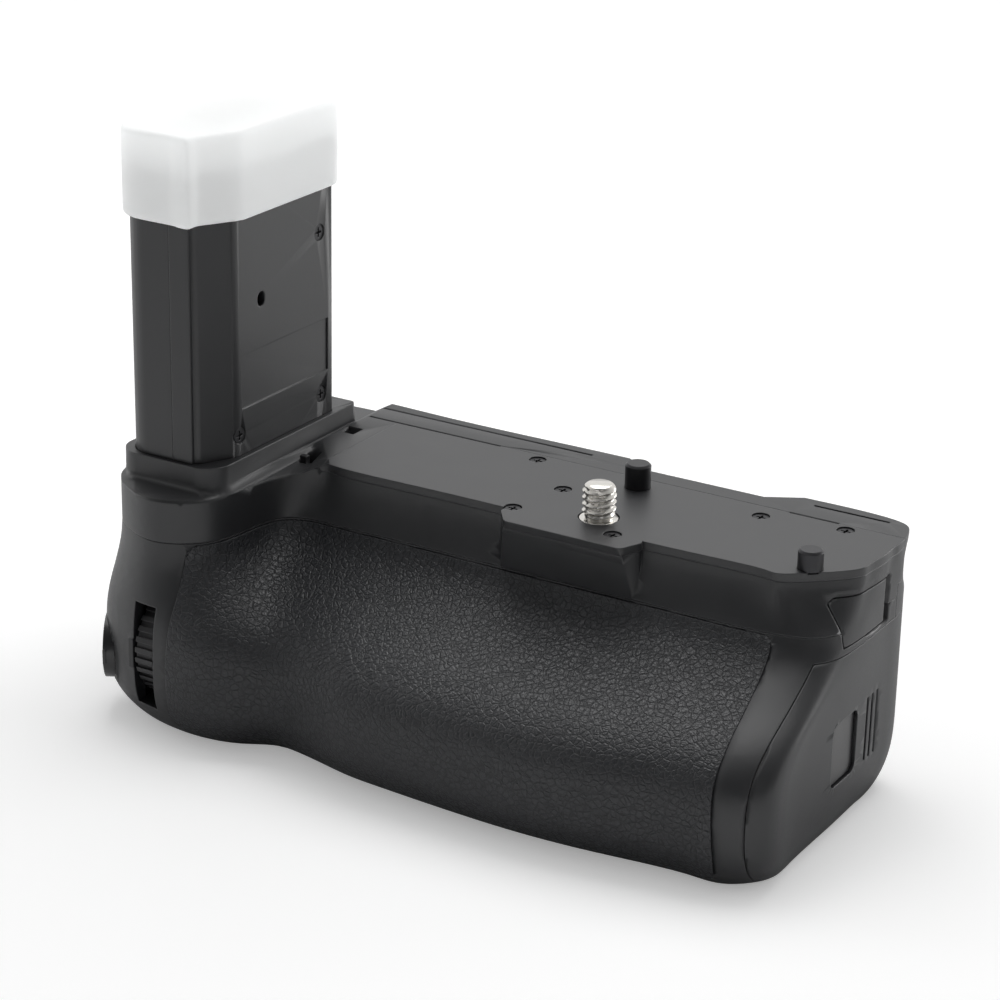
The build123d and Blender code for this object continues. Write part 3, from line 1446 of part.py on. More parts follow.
# Latch button with a lip behind the end cap, and its spring
latch_back = end_face - latch_run_gap - latch_lip_thick
with BuildPart() as latch_button:
    with BuildSketch(Plane.YZ.offset(latch_back)):
        with Locations((latch_y, -latch_drop)):
            RectangleRounded(latch_width, latch_height, latch_corner)
    extrude(amount=body_right - latch_sink - latch_back)
    with BuildSketch(Plane.YZ.offset(latch_back)):
        with Locations((latch_y, -latch_drop)):
            RectangleRounded(latch_width + 2 * latch_lip, latch_height + 2 * latch_lip, latch_corner)
    extrude(amount=latch_lip_thick)
latch_button.part.label = "latch_button"
export_step(latch_button.part, "parts/latch_button.step")

spring_start = bay_right + tray_wall + spring_wire / 2 + touch_gap
spring_length = latch_back - spring_wire / 2 - touch_gap - spring_start
with BuildPart() as latch_spring:
    with BuildLine() as spring_line:
        Helix(
            spring_length / spring_turns, spring_length, spring_radius,
            center=(spring_start, latch_y, -latch_drop), direction=(1, 0, 0),
        )
    with BuildSketch(Plane(origin=spring_line.line @ 0, z_dir=spring_line.line % 0)):
        Circle(spring_wire / 2)
    sweep(path=spring_line.line, is_frenet=True)
latch_spring.part.label = "latch_spring"
export_step(latch_spring.part, "parts/latch_spring.step")


def dial_outline(y, drop, radius):
    """A dial seen along its axle: a disc with a bore and notches round its rim."""
    with Locations((y, -drop)):
        Circle(radius)
        Circle(dial_axle_radius + running_gap, mode=Mode.SUBTRACT)
        with PolarLocations(radius, dial_ribs):
            Rectangle(
                2 * dial_rib_depth, rib_share * math.tau * radius / dial_ribs, mode=Mode.SUBTRACT,
            )


# Front dial and its axle between two brackets
with BuildPart() as front_dial:
    with BuildSketch(Plane.YZ.offset(dial_x - dial_width / 2)):
        dial_outline(front_dial_y, front_dial_drop, front_dial_radius)
    extrude(amount=dial_width)
front_dial.part.label = "front_dial"
export_step(front_dial.part, "parts/front_dial.step")

with BuildPart() as front_dial_axle:
    rod(
        (front_axle_ends[0], front_dial_y, -front_dial_drop),
        (front_axle_ends[1], front_dial_y, -front_dial_drop),
        dial_axle_radius,
    )
front_dial_axle.part.label = "front_dial_axle"
export_step(front_dial_axle.part, "parts/front_dial_axle.step")

# Rear dial and its axle, held by one bracket
with BuildPart() as rear_dial:
    with BuildSketch(Plane.YZ.offset(dial_x - dial_width / 2)):
        dial_outline(rear_dial_y, rear_dial_drop, rear_dial_radius)
    extrude(amount=dial_width)
rear_dial.part.label = "rear_dial"
export_step(rear_dial.part, "parts/rear_dial.step")

with BuildPart() as rear_dial_axle:
    rod(
        (rear_axle_left, rear_dial_y, -rear_dial_drop),
        (dial_x + dial_width / 2 + running_gap, rear_dial_y, -rear_dial_drop),
        dial_axle_radius,
    )
rear_dial_axle.part.label = "rear_dial_axle"
export_step(rear_dial_axle.part, "parts/rear_dial_axle.step")

# Shutter button on its stem, the lock collar round it and the switch behind it
with BuildPart() as shutter_collar:
    with Locations(shutter_plane.offset(ring_rise)):
        Cylinder(ring_outer, ring_rise + ring_sink - running_gap, align=on_face)
        Box(lever_width, 2 * (ring_outer + lever_length), ring_rise / 2, align=on_face)
        Cylinder(ring_inner, 2 * (ring_rise + ring_sink), mode=Mode.SUBTRACT)
    with Locations(shutter_plane.offset(ring_rise)):
        with Locations((0, -ring_outer - ring_gap, 0)):
            Box(
                4 * lever_width, 2 * ring_outer, 2 * ring_rise,
                align=(middle, high_end, middle), mode=Mode.SUBTRACT,
            )
shutter_collar.part.label = "shutter_collar"
export_step(shutter_collar.part, "parts/shutter_collar.step")

with BuildPart() as shutter_button:
    with Locations(shutter_plane.offset(shutter_top)):
        Cylinder(shutter_radius, shutter_thick, align=on_face)
        Cylinder(stem_radius, shutter_top + stem_end, align=on_face)
shutter_button.part.label = "shutter_button"
export_step(shutter_button.part, "parts/shutter_button.step")

with BuildPart() as shutter_switch:
    with Locations(shutter_plane.offset(-stem_end - shutter_travel - 2 * ring_gap)):
        Cylinder(switch_board_radius, switch_board_thick, align=on_face)
shutter_switch.part.label = "shutter_switch"
export_step(shutter_switch.part, "parts/shutter_switch.step")


def add_button(face, radius):
    """A round button with a lip behind the wall, in the part being built."""
    with Locations(face.offset(button_rise)):
        Cylinder(radius, button_rise + body_wall + button_lip_thick, align=on_face)
    with Locations(face.offset(-body_wall - button_gap / 2)):
        Cylinder(radius + button_lip, button_lip_thick, align=on_face)


# Exposure and sensitivity buttons beside the shutter, and the board that carries their switches
for name, plane in side_planes.items():
    with BuildPart() as side_button:
        add_button(plane, side_button_radius)
    side_button.part.label = name
    export_step(side_button.part, f"parts/{name}.step")

with BuildPart() as side_board:
    slab(
        (side_board_face, -side_board_front, -side_board_foot),
        (side_board_face + rear_board_thick, -side_board_rear, -side_board_top),
    )
side_board.part.label = "side_board"
export_step(side_board.part, "parts/side_board.step")

# Focus button at the back
with BuildPart() as focus_button:
    add_button(focus_plane, focus_radius)
focus_button.part.label = "focus_button"
export_step(focus_button.part, "parts/focus_button.step")

# Multi selector: a yoke that tips up and down, a stick that tips sideways in it, and the cap
selector_pivot = -body_wall - button_gap - selector_yoke_thick / 2
with BuildPart() as selector_yoke:
    with Locations(selector_plane.offset(selector_pivot)):
        Cylinder(selector_yoke_outer, selector_yoke_thick)
        Cylinder(selector_yoke_inner, 2 * selector_yoke_thick, mode=Mode.SUBTRACT)
selector_yoke.part.label = "selector_yoke"
export_step(selector_yoke.part, "parts/selector_yoke.step")

stick_top = selector_rise - selector_thick / 2
with BuildPart() as selector_stick:
    with Locations(selector_plane.offset(stick_top)):
        Cylinder(
            selector_stem_radius, stick_top - selector_pivot + selector_yoke_thick / 2, align=on_face,
        )
selector_stick.part.label = "selector_stick"
export_step(selector_stick.part, "parts/selector_stick.step")

with BuildPart() as selector_cap:
    with Locations(selector_plane.offset(selector_rise)):
        Cylinder(selector_radius, selector_thick, align=on_face)
    with Locations(selector_plane.offset(stick_top + selector_travel + running_gap)):
        Cylinder(selector_stem_radius + running_gap, selector_thick, align=on_face, mode=Mode.SUBTRACT)
selector_cap.part.label = "selector_cap"
export_step(selector_cap.part, "parts/selector_cap.step")

# Board behind the focus button and the selector
with BuildPart() as rear_board:
    slab(
        (-rear_board_left, rear_board_face - rear_board_thick, -rear_board_foot),
        (-rear_board_right, rear_board_face, -rear_board_top),
    )
rear_board.part.label = "rear_board"
export_step(rear_board.part, "parts/rear_board.step")
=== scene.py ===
import json
import math

import bpy
from mathutils import Matrix, Vector


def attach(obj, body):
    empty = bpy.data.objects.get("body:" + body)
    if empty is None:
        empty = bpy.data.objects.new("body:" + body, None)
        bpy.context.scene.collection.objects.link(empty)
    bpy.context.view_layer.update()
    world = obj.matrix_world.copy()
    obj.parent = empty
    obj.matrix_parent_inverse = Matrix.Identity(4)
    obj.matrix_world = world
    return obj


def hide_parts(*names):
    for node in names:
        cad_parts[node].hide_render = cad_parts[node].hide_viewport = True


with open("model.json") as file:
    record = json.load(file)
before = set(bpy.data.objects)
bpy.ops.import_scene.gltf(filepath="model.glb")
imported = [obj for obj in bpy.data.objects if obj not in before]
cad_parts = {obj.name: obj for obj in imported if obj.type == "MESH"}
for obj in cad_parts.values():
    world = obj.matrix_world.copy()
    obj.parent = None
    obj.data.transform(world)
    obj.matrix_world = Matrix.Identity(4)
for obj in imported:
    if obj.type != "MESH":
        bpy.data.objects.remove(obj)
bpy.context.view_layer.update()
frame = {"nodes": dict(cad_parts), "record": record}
print("frame loaded:", len(frame["nodes"]), "nodes")

# The photograph's view: millimetres and degrees, seen from in front, to the right and above
photoView = {
    "yaw": 30.644, "pitch": 21.489, "roll": 1.205, "distance": 530.608,
    "across": -17.979, "up": 3.092, "unit": 0.001, "lens": 104.97, "sensor": 36.0, "near": 0.01,
}
worldLook = {"behind": (-0.5, 0.84, 0.2), "from": -0.7, "to": 0.9, "dim": 0.12, "bright": 0.95}
# Each lamp's place, aim, width, height and power
lamps = {
    "topLamp": {
        "place": (-0.1, 0.25, 0.62), "aim": (0, 0, 0), "wide": 0.55, "tall": 0.55, "power": 3.0,
    },
    "sideLamp": {
        "place": (-0.6, -0.05, 0.16), "aim": (-0.02, 0, 0), "wide": 0.25, "tall": 0.5, "power": 0.7,
    },
    "frontLamp": {
        "place": (0.5, -0.5, 0.35), "aim": (0, 0, 0), "wide": 0.3, "tall": 0.3, "power": 0.12,
    },
    "endLamp": {
        "place": (0.5, 0.7, 0.1), "aim": (0.03, 0, 0), "wide": 0.5, "tall": 0.28, "power": 2.2,
    },
}
floorLook = {
    "drop": -0.05, "size": 6.0, "tone": 0.93, "fleck": 0.02, "fleckSize": 0.002, "lift": 0.3,
}


class Wire:
    # one output of a material's nodes, so that sums on it can be written plainly
    def __init__(self, kit, socket):
        self.kit = kit
        self.socket = socket

    def sum(self, operation, first, second):
        return self.kit.get("ShaderNodeMath", {"operation": operation}, {0: first, 1: second})

    def __add__(self, other):
        return self.sum("ADD", self, other)

    __radd__ = __add__

    def __mul__(self, other):
        return self.sum("MULTIPLY", self, other)

    __rmul__ = __mul__

    def __sub__(self, other):
        return self.sum("SUBTRACT", self, other)

    def __rsub__(self, other):
        return self.sum("SUBTRACT", other, self)


class Finish:
    # a material being made: get() adds a node with its settings first, then its inputs
    def __init__(self, name):
        self.material = bpy.data.materials.new(name)
        self.material.use_nodes = True
        self.tree = self.material.node_tree
        self.tree.nodes.clear()
        self.place = self.get("ShaderNodeTexCoord", {}, {}, "Object")

    def get(self, kind, settings, inputs, output=0):
        node = self.tree.nodes.new(kind)
        for key, value in settings.items():
            if key == "stops":
                for index, (spot, tone) in enumerate(value):
                    if index > 1:
                        node.color_ramp.elements.new(spot)
                    node.color_ramp.elements[index].position = spot
                    node.color_ramp.elements[index].color = (tone, tone, tone, 1)
            else:
                setattr(node, key, value)
        for key, value in inputs.items():
            if isinstance(value, Wire):
                self.tree.links.new(value.socket, node.inputs[key])
            elif isinstance(value, tuple) and len(value) == 3 and node.inputs[key].type == "RGBA":
                node.inputs[key].default_value = (*value, 1)
            else:
                node.inputs[key].default_value = value
        return Wire(self, node.outputs[output])

    def noise(self, size, detail=3.0, rough=0.55):
        return self.get("ShaderNodeTexNoise", {}, {
            "Vector": self.place, "Scale": 1 / size, "Detail": detail, "Roughness": rough,
        })

    def ramp(self, value, stops):
        return self.get("ShaderNodeValToRGB", {"stops": stops}, {0: value})

    def blend(self, factor, first, second):
        return self.get(
            "ShaderNodeMix", {"data_type": "RGBA"}, {0: factor, 6: first, 7: second}, 2,
        )

    def soften(self, radius):
        return self.get("ShaderNodeBevel", {"samples": 6}, {"Radius": radius})

    # Mask of the soft edges from the bevelled normal, used for a painted edge highlight and a
    # roughness change
    def edges(self, soft, gain):
        flat = self.get("ShaderNodeNewGeometry", {}, {}, "Normal")
        along = self.get(
            "ShaderNodeVectorMath", {"operation": "DOT_PRODUCT"}, {0: soft, 1: flat}, "Value",
        )
        return self.get("ShaderNodeClamp", {}, {0: (1 - along) * gain})

    def bump(self, height, depth, normal=None, strength=1.0):
        inputs = {"Height": height, "Distance": depth, "Strength": strength}
        if normal is not None:
            inputs["Normal"] = normal
        return self.get("ShaderNodeBump", {}, inputs)

    def close(self, shader):
        output = self.tree.nodes.new("ShaderNodeOutputMaterial")
        self.tree.links.new(shader.socket, output.inputs["Surface"])
        return self.material


# Painted and moulded surfaces: a fine grain in the surface, soft edges lighter by a painted
# highlight
grainedBase = {
    "cloud": 0.011, "edge": 0.00025, "gain": 2.2, "edgeHighlightAmount": 0.5, "strength": 0.5, "coat": 0.0,
    "coatRough": 0.25, "cloudShift": 0.1, "grainShift": 0.12, "edgeRoughShift": 0.08,
}


def grained(name, look):
    look = {**grainedBase, **look}
    finish = Finish(name)
    cloud = finish.noise(look["cloud"], 4.0)
    grain = finish.noise(look["grain"], 2.0, 0.7)
    soft = finish.soften(look["edge"])
    edgeHighlight = finish.edges(soft, look["gain"])
    base = finish.blend(cloud, look["dark"], look["light"])
    # painted highlight: the soft edges are lightened in colour
    base = finish.blend(edgeHighlight * look["edgeHighlightAmount"], base, look["edgeHighlight"])
    rough = look["rough"] + (cloud - 0.5) * look["cloudShift"] + (grain - 0.5) * look["grainShift"]
    normal = finish.bump(grain, look["depth"], soft, look["strength"])
    shader = finish.get("ShaderNodeBsdfPrincipled", {}, {
        "Base Color": base, "Roughness": rough - edgeHighlight * look["edgeRoughShift"], "Normal": normal,
        "Coat Weight": look["coat"], "Coat Roughness": look["coatRough"],
    })
    return finish.close(shader)


# Turned and ground metal: fine rings or strokes, some smudges, edges lighter by a painted highlight
metalBase = {
    "smudge": 0.004, "stroke": (1.0, 1.0, 12.0), "strokes": 900.0, "edge": 0.0002, "gain": 2.0,
    "edgeHighlightAmount": 0.5, "smudgeShift": 0.12, "strokeShift": 0.1, "depth": 0.000006, "strength": 0.35,
    "metal": 1.0,
}


def metal(name, look):
    look = {**metalBase, **look}
    finish = Finish(name)
    smudge = finish.noise(look["smudge"], 4.0)
    stretched = finish.get(
        "ShaderNodeMapping", {}, {"Vector": finish.place, "Scale": look["stroke"]},
    )
    stroke = finish.get(
        "ShaderNodeTexNoise", {}, {"Vector": stretched, "Scale": look["strokes"], "Detail": 2.0},
    )
    soft = finish.soften(look["edge"])
    edgeHighlight = finish.edges(soft, look["gain"])
    base = finish.blend(smudge, look["dark"], look["light"])
    # painted highlight: the soft edges are lightened in colour
    base = finish.blend(edgeHighlight * look["edgeHighlightAmount"], base, look["edgeHighlight"])
    rough = look["rough"] + (smudge - 0.5) * look["smudgeShift"]
    rough = rough + (stroke - 0.5) * look["strokeShift"]
    shader = finish.get("ShaderNodeBsdfPrincipled", {}, {
        "Base Color": base, "Roughness": rough, "Metallic": look["metal"],
        "Normal": finish.bump(stroke, look["depth"], soft, look["strength"]),
    })
    return finish.close(shader)


# Leather-grained rubber: cells with creases between them and finer wrinkles on top; colour darker
# in the creases by painted shade and lighter on the cell tops by a painted highlight
leatherBase = {
    "drift": 420.0, "coarse": 0.7, "fine": 0.3, "cloud": 0.012, "edge": 0.0003, "gain": 2.0,
    "edgeHighlightAmount": 0.6, "cloudShift": 0.1, "creaseShift": 0.2, "strength": 0.8,
}


def leatherRubber(name, look):
    look = {**leatherBase, **look}
    finish = Finish(name)
    drift = finish.get(
        "ShaderNodeTexNoise", {}, {"Vector": finish.place, "Scale": look["drift"], "Detail": 3.0},
        "Color",
    )
    bent = finish.get(
        "ShaderNodeMix", {"data_type": "RGBA", "blend_type": "LINEAR_LIGHT"},
        {0: look["bend"], 6: finish.place, 7: drift}, 2,
    )
    creases, wrinkles = (
        finish.ramp(
            finish.get(
                "ShaderNodeTexVoronoi", {"feature": "DISTANCE_TO_EDGE"},
                {"Vector": bent, "Scale": 1 / look[size], "Randomness": 1.0},
            ),
            [(0.0, 0.0), (look["crease"], 1.0)],
        )
        for size in ("cell", "wrinkle")
    )
    height = creases * look["coarse"] + wrinkles * look["fine"]
    cloud = finish.noise(look["cloud"], 3.0)
    soft = finish.soften(look["edge"])
    edgeHighlight = finish.edges(soft, look["gain"])
    # painted shade and highlight: colour darker in the creases and lighter on the cell tops
    base = finish.blend(height, look["dark"], look["light"])
    # painted highlight: the soft edges are lightened in colour
    base = finish.blend(edgeHighlight * look["edgeHighlightAmount"], base, look["edgeHighlight"])
    rough = look["rough"] + (cloud - 0.5) * look["cloudShift"] + (1 - height) * look["creaseShift"]
    shader = finish.get("ShaderNodeBsdfPrincipled", {}, {
        "Base Color": base, "Roughness": rough,
        "Normal": finish.bump(height, look["depth"], soft, look["strength"]),
    })
    return finish.close(shader)


# Frosted plastic: light goes through it, scattered by a matt surface; a painted glow makes it give
# off light of its own
def frosted(name, look):
    finish = Finish(name)
    grain = finish.noise(look["grain"], 2.0, 0.7)
    cloud = finish.noise(look["cloud"], 3.0)
    base = finish.blend(cloud, look["dark"], look["light"])
    normal = finish.bump(grain, look["depth"], finish.soften(look["edge"]), look["strength"])
    # painted glow: emission in the cap's own light tone, though the cap is no lamp
    clear = finish.get("ShaderNodeBsdfPrincipled", {}, {
        "Base Color": base, "Roughness": look["rough"] + (cloud - 0.5) * look["cloudShift"],
        "Normal": normal, "Transmission Weight": look["clear"], "IOR": look["index"],
        "Emission Color": look["light"], "Emission Strength": look["paintedGlow"],
    })
    milk = finish.get("ShaderNodeBsdfTranslucent", {}, {"Color": look["light"], "Normal": normal})
    shader = finish.get("ShaderNodeMixShader", {}, {0: look["milk"], 1: clear, 2: milk})
    return finish.close(shader)


# Circuit boards: lacquer over faint tracks
lacqueredBase = {
    "tracks": 260.0, "line": 0.03, "cloud": 0.003, "rough": 0.3, "cloudShift": 0.15, "coat": 0.3,
    "depth": 0.00001, "strength": 0.2,
}


def lacquered(name, look):
    look = {**lacqueredBase, **look}
    finish = Finish(name)
    tracks = finish.get("ShaderNodeTexBrick", {}, {
        "Vector": finish.place, "Scale": look["tracks"], "Color1": look["light"],
        "Color2": look["dark"], "Mortar": look["track"], "Mortar Size": look["line"],
    })
    cloud = finish.noise(look["cloud"], 3.0)
    shader = finish.get("ShaderNodeBsdfPrincipled", {}, {
        "Base Color": tracks, "Roughness": look["rough"] + cloud * look["cloudShift"],
        "Coat Weight": look["coat"],
        "Normal": finish.bump(cloud, look["depth"], None, look["strength"]),
    })
    return finish.close(shader)


finishes = {
    "shell": grained("satinShell", {
        "dark": (0.014, 0.0145, 0.016), "light": (0.021, 0.0215, 0.0235),
        "edgeHighlight": (0.11, 0.112, 0.118), "rough": 0.42, "grain": 0.00028, "depth": 0.00002,
        "strength": 0.55, "edgeHighlightAmount": 0.5, "edge": 0.00035,
    }),
    "deck": grained("satinDeck", {
        "dark": (0.017, 0.0175, 0.019), "light": (0.024, 0.0245, 0.0265),
        "edgeHighlight": (0.13, 0.132, 0.138), "rough": 0.4, "grain": 0.00026, "depth": 0.00002,
        "strength": 0.55, "edgeHighlightAmount": 0.6, "edge": 0.0003,
    }),
    "tower": grained("satinTower", {
        "dark": (0.011, 0.0115, 0.013), "light": (0.018, 0.0185, 0.02), "edgeHighlight": (0.1, 0.102, 0.108),
        "rough": 0.4, "grain": 0.0003, "depth": 0.000018, "strength": 0.5, "edgeHighlightAmount": 0.4,
        "edge": 0.0004,
    }),
    "inner": grained("mouldedInner", {
        "dark": (0.03, 0.03, 0.033), "light": (0.045, 0.045, 0.05), "edgeHighlight": (0.12, 0.12, 0.13),
        "rough": 0.5, "grain": 0.0005, "depth": 0.00002, "edgeHighlightAmount": 0.4,
    }),
    "dial": grained("mattDial", {
        "dark": (0.01, 0.01, 0.011), "light": (0.017, 0.017, 0.019), "edgeHighlight": (0.1, 0.1, 0.105),
        "rough": 0.45, "grain": 0.0003, "depth": 0.00001, "edgeHighlightAmount": 0.5, "edge": 0.0002,
    }),
    "button": grained("satinButton", {
        "dark": (0.009, 0.009, 0.01), "light": (0.014, 0.014, 0.016), "edgeHighlight": (0.09, 0.09, 0.095),
        "rough": 0.33, "grain": 0.0003, "depth": 0.00001, "edgeHighlightAmount": 0.5, "edge": 0.0004, "coat": 0.2,
    }),
    "black_steel": metal("blackSteel", {
        "dark": (0.02, 0.02, 0.022), "light": (0.035, 0.035, 0.038), "edgeHighlight": (0.16, 0.16, 0.165),
        "rough": 0.38, "metal": 0.6,
    }),
    "plate": metal("blackenedPlate", {
        "dark": (0.05, 0.05, 0.052), "light": (0.08, 0.08, 0.083), "edgeHighlight": (0.25, 0.25, 0.26),
        "rough": 0.42, "metal": 0.8, "stroke": (12.0, 1.0, 1.0),
    }),
    "nickel": metal("nickelPlate", {
        "dark": (0.62, 0.6, 0.56), "light": (0.78, 0.76, 0.72),
        "edgeHighlight": (0.9, 0.89, 0.87), "rough": 0.2,
    }),
    "steel": metal("turnedSteel", {
        "dark": (0.42, 0.42, 0.43), "light": (0.58, 0.58, 0.6),
        "edgeHighlight": (0.8, 0.8, 0.8), "rough": 0.32,
    }),
    "alloy": metal("castAlloy", {
        "dark": (0.4, 0.41, 0.42), "light": (0.55, 0.56, 0.57),
        "edgeHighlight": (0.75, 0.75, 0.76), "rough": 0.5,
    }),
    "gear": metal("machinedBrass", {
        "dark": (0.5, 0.36, 0.13), "light": (0.68, 0.5, 0.2),
        "edgeHighlight": (0.85, 0.7, 0.4), "rough": 0.3,
    }),
    "contact": metal("platedContact", {
        "dark": (0.68, 0.5, 0.2), "light": (0.82, 0.63, 0.28),
        "edgeHighlight": (0.95, 0.8, 0.5), "rough": 0.24,
    }),
    "rubber": leatherRubber("grainedRubber", {
        "dark": (0.006, 0.0065, 0.008), "light": (0.018, 0.019, 0.022), "edgeHighlight": (0.09, 0.093, 0.1),
        "rough": 0.36, "cell": 0.0012, "wrinkle": 0.0006, "crease": 0.16, "depth": 0.00014,
        "bend": 0.00035,
    }),
    "cap": frosted("frostedCap", {
        "dark": (0.92, 0.93, 0.93), "light": (0.97, 0.975, 0.975), "rough": 0.45, "index": 1.25,
        "clear": 0.22, "milk": 0.4, "paintedGlow": 0.18, "grain": 0.00035, "cloud": 0.01,
        "cloudShift": 0.08, "edge": 0.0009, "depth": 0.00002, "strength": 0.4,
    }),
    "board": lacquered("lacqueredBoard", {
        "dark": (0.01, 0.07, 0.03), "light": (0.012, 0.09, 0.04), "track": (0.05, 0.2, 0.09),
    }),
    "strip": lacquered("amberStrip", {
        "dark": (0.4, 0.2, 0.04), "light": (0.48, 0.26, 0.06), "track": (0.6, 0.35, 0.1),
    }),
}
print("finishes made:", len(finishes))

slotOf = {entry["node"]: entry["material_slot"] for entry in frame["record"]["subparts"]}
bodies = frame["record"]["behaviour"]["bodies"]
bodyOf = {node: body for body, nodes in bodies.items() for node in nodes}
for name, node in frame["nodes"].items():
    node.data.materials.clear()
    node.data.materials.append(finishes[slotOf[name]])
print("CAD nodes dressed")


def clearSelection():
    if bpy.context.object and bpy.context.object.mode != "OBJECT":
        bpy.ops.object.mode_set(mode="OBJECT")
    for item in list(bpy.context.selected_objects):
        item.select_set(False)


# A smooth copy of a CAD node, with its loose triangles joined up
skinForm = {"merge": 0.000002, "angle": 28.0, "weight": 100}


def smoothCopy(nodeName, look):
    clearSelection()
    source = frame["nodes"][nodeName]
    piece = bpy.data.objects.new(nodeName + "Skin", source.data.copy())
    bpy.context.scene.collection.objects.link(piece)
    bpy.context.view_layer.objects.active = piece
    piece.select_set(True)
    bpy.ops.object.mode_set(mode="EDIT")
    bpy.ops.mesh.select_all(action="SELECT")
    bpy.ops.mesh.remove_doubles(threshold=look["merge"])
    bpy.ops.object.mode_set(mode="OBJECT")
    bpy.ops.object.shade_smooth_by_angle(angle=math.radians(look["angle"]))
    bpy.ops.object.modifier_add(type="WEIGHTED_NORMAL")
    piece.modifiers[-1].keep_sharp = True
    piece.modifiers[-1].weight = look["weight"]
    bpy.ops.object.modifier_apply(modifier=piece.modifiers[-1].name)
    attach(piece, bodyOf[nodeName])
    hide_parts(nodeName)
    return piece


for name in (
    "front_cover", "front_grip_rubber", "top_housing", "rear_cover", "end_cap", "usb_flap",
    "thumb_rubber", "tower_shell_right", "tower_shell_left",
):
    smoothCopy(name, skinForm)
print("smooth skins made")

# Frosted cap: the CAD cap with all its edges rounded over
capForm = {"voxel": 0.0004, "rounds": 40, "strength": 0.5}


def makeCap(look):
    piece = smoothCopy("contact_cap", skinForm)
    clearSelection()
    piece.select_set(True)
    bpy.context.view_layer.objects.active = piece
    bpy.ops.object.modifier_add(type="REMESH")
    piece.modifiers[-1].mode = "VOXEL"
    piece.modifiers[-1].voxel_size = look["voxel"]
    bpy.ops.object.modifier_apply(modifier=piece.modifiers[-1].name)
    bpy.ops.object.modifier_add(type="SMOOTH")
    piece.modifiers[-1].factor = look["strength"]
    piece.modifiers[-1].iterations = look["rounds"]
    bpy.ops.object.modifier_apply(modifier=piece.modifiers[-1].name)
    bpy.ops.object.shade_smooth()


makeCap(capForm)
print("frosted cap made")

# Camera screw with its helical thread, a wide collar in the deck and a domed tip
cameraScrew = {
    "crest": 0.003175, "root": 0.00262, "pitch": 0.00127, "tip": 0.0066, "foot": -0.0073,
    "collar": 0.0036, "clip": 0.0034, "journal": 0.0024, "clipFoot": -0.01325, "clipTop": -0.01245,
    "sides": 96, "rings": 260, "threadFoot": 0.0003, "run": 0.0008, "dome": 0.0009,
    "deck": 0.0001, "upright": 0.001, "flank": 0.42, "flat": 1.25, "tipStep": 0.00015, "fall": 0.9,
    "angle": 40.0,
}


def threadRadius(look, angle, height):
    turn = (height / look["pitch"] - angle / math.tau) % 1.0
    tooth = max(0.0, 1.0 - abs(turn - 0.5) / look["flank"])
    tooth = min(1.0, tooth * look["flat"])
    fade = min(1.0, max(0.0, (height - look["threadFoot"]) / look["run"]))
    radius = look["root"] + (look["crest"] - look["root"]) * tooth * fade
    above = height - (look["tip"] - look["dome"])
    if above > 0:
        drop = look["tipStep"] + above * above / look["dome"] * look["fall"]
        radius = min(radius, look["crest"] - drop)
    return radius


def makeScrew(look):
    clearSelection()
    low, high = look["clipFoot"], look["tip"]
    bpy.ops.mesh.primitive_cylinder_add(
        vertices=look["sides"], radius=look["crest"], depth=high - low,
        location=(0, 0, (low + high) / 2),
    )
    piece = bpy.context.object
    piece.name = "cameraScrew"
    bpy.ops.object.transform_apply(location=True, rotation=True, scale=True)
    bpy.ops.object.mode_set(mode="EDIT")
    bpy.ops.mesh.select_all(action="DESELECT")
    bpy.ops.mesh.select_mode(type="EDGE")
    bpy.ops.object.mode_set(mode="OBJECT")
    for edge in piece.data.edges:
        ends = [piece.data.vertices[index].co.z for index in edge.vertices]
        edge.select = abs(ends[0] - ends[1]) > look["upright"]
    bpy.ops.object.mode_set(mode="EDIT")
    bpy.ops.mesh.subdivide(number_cuts=look["rings"])
    bpy.ops.mesh.select_all(action="SELECT")
    bpy.ops.mesh.normals_make_consistent(inside=False)
    bpy.ops.object.mode_set(mode="OBJECT")
    for vertex in piece.data.vertices:
        x, y, z = vertex.co
        angle = math.atan2(y, x)
        if z > look["deck"]:
            radius = threadRadius(look, angle, z)
        elif z > look["foot"]:
            radius = look["collar"]
        elif z > look["clipTop"]:
            radius = look["journal"]
        else:
            radius = look["clip"]
        vertex.co.x = radius * math.cos(angle)
        vertex.co.y = radius * math.sin(angle)
    bpy.ops.object.shade_smooth_by_angle(angle=math.radians(look["angle"]))
    piece.data.materials.append(finishes["nickel"])
    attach(piece, "screw")
    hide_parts("tripod_screw")


makeScrew(cameraScrew)
print("camera screw made")


# Stage: pale floor, soft lamps and the photograph's camera
def makeFloor(look):
    clearSelection()
    bpy.ops.mesh.primitive_plane_add(size=look["size"], location=(0, 0, look["drop"]))
    ground = bpy.context.object
    ground.name = "paleFloor"
    bpy.ops.object.transform_apply(location=True, rotation=True, scale=True)
    finish = Finish("paleFloor")
    speck = finish.noise(look["fleckSize"], 2.0)
    tone = finish.blend(speck, (look["tone"],) * 3, (look["tone"] + look["fleck"],) * 3)
    matt = finish.get("ShaderNodeBsdfDiffuse", {}, {"Color": tone, "Roughness": 1.0})
    seen = finish.get("ShaderNodeLightPath", {}, {}, "Is Camera Ray")
    lift = finish.get(
        "ShaderNodeEmission", {}, {"Color": (1.0, 1.0, 1.0), "Strength": seen * look["lift"]},
    )
    both = finish.get("ShaderNodeAddShader", {}, {0: matt, 1: lift})
    ground.data.materials.append(finish.close(both))


def addLamp(name, look):
    lamp = bpy.data.lights.new(name, "AREA")
    lamp.shape = "RECTANGLE"
    lamp.size = look["wide"]
    lamp.size_y = look["tall"]
    lamp.energy = look["power"]
    holder = bpy.data.objects.new(name, lamp)
    bpy.context.scene.collection.objects.link(holder)
    holder.location = look["place"]
    ahead = Vector(look["aim"]) - Vector(look["place"])
    holder.rotation_euler = ahead.to_track_quat("-Z", "Y").to_euler()


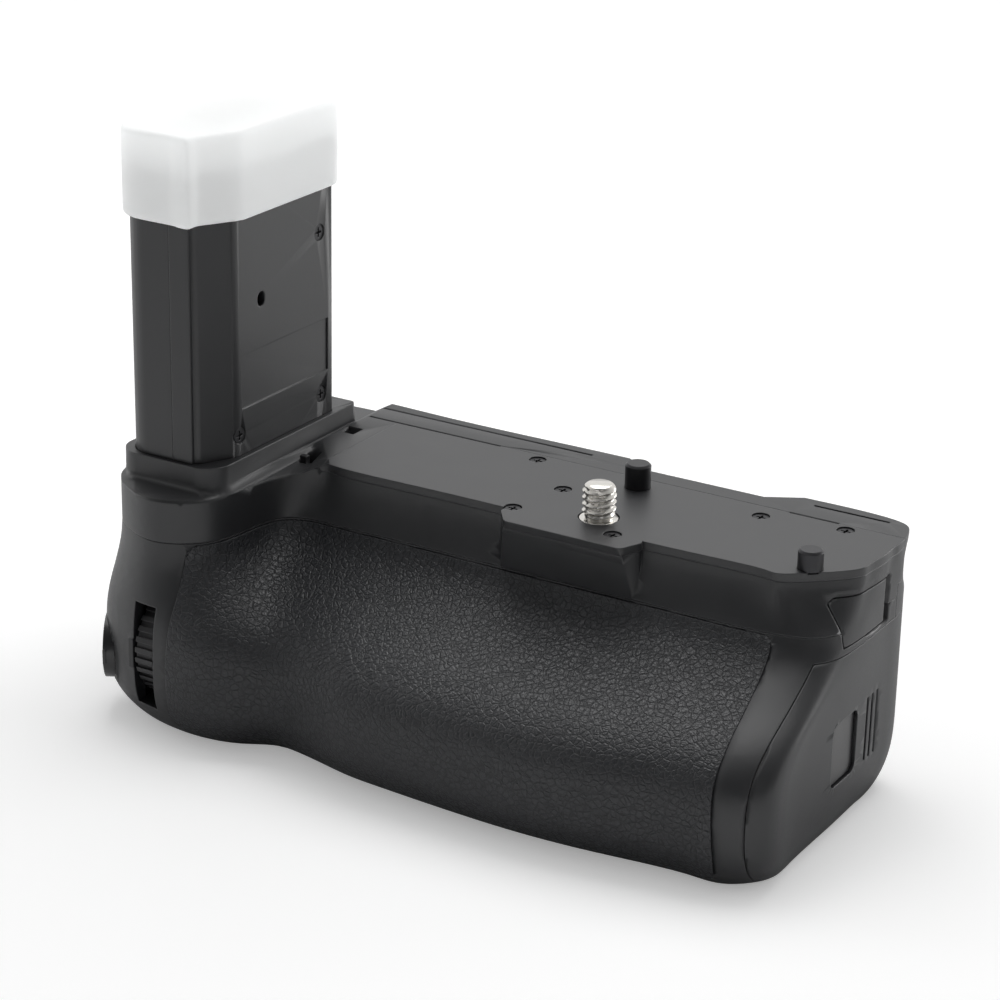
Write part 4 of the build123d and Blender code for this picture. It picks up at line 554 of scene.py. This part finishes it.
def makeWorld(look):
    world = bpy.data.worlds.new("studio")
    bpy.context.scene.world = world
    world.use_nodes = True
    tree = world.node_tree
    tree.nodes.clear()
    path = tree.nodes.new("ShaderNodeLightPath")
    backdrop = tree.nodes.new("ShaderNodeBackground")
    backdrop.inputs["Color"].default_value = (1, 1, 1, 1)
    backdrop.inputs["Strength"].default_value = 1.0
    light = tree.nodes.new("ShaderNodeBackground")
    light.inputs["Color"].default_value = (1, 1, 1, 1)
    spot = tree.nodes.new("ShaderNodeTexCoord")
    # The room is bright behind the object and dim in front of it
    facing = tree.nodes.new("ShaderNodeVectorMath")
    facing.operation = "DOT_PRODUCT"
    facing.inputs[1].default_value = look["behind"]
    level = tree.nodes.new("ShaderNodeMapRange")
    level.interpolation_type = "SMOOTHSTEP"
    span = {"From Min": "from", "From Max": "to", "To Min": "dim", "To Max": "bright"}
    for socket, key in span.items():
        level.inputs[socket].default_value = look[key]
    tree.links.new(spot.outputs["Generated"], facing.inputs[0])
    tree.links.new(facing.outputs["Value"], level.inputs["Value"])
    tree.links.new(level.outputs["Result"], light.inputs["Strength"])
    mix = tree.nodes.new("ShaderNodeMixShader")
    output = tree.nodes.new("ShaderNodeOutputWorld")
    tree.links.new(path.outputs["Is Camera Ray"], mix.inputs[0])
    tree.links.new(light.outputs[0], mix.inputs[1])
    tree.links.new(backdrop.outputs[0], mix.inputs[2])
    tree.links.new(mix.outputs[0], output.inputs[0])


def makeCamera(view):
    yaw, pitch, roll = (math.radians(view[key]) for key in ("yaw", "pitch", "roll"))
    flat = math.cos(pitch)
    ahead = Vector((-math.sin(yaw) * flat, math.cos(yaw) * flat, -math.sin(pitch)))
    level = Vector((math.cos(yaw), math.sin(yaw), 0))
    upright = level.cross(ahead)
    right = math.cos(roll) * level + math.sin(roll) * upright
    up = math.cos(roll) * upright - math.sin(roll) * level
    spot = (-ahead * view["distance"] + right * view["across"] + up * view["up"]) * view["unit"]
    lens = bpy.data.cameras.new("photoCamera")
    lens.lens = view["lens"]
    lens.sensor_width = view["sensor"]
    lens.clip_start = view["near"]
    camera = bpy.data.objects.new("photoCamera", lens)
    bpy.context.scene.collection.objects.link(camera)
    turn = Matrix((right, up, -ahead)).transposed().to_4x4()
    camera.matrix_world = Matrix.Translation(spot) @ turn
    bpy.context.scene.camera = camera


makeFloor(floorLook)
makeWorld(worldLook)
for name, look in lamps.items():
    addLamp(name, look)
makeCamera(photoView)
bpy.context.scene.view_settings.view_transform = "Standard"
print("stage set")
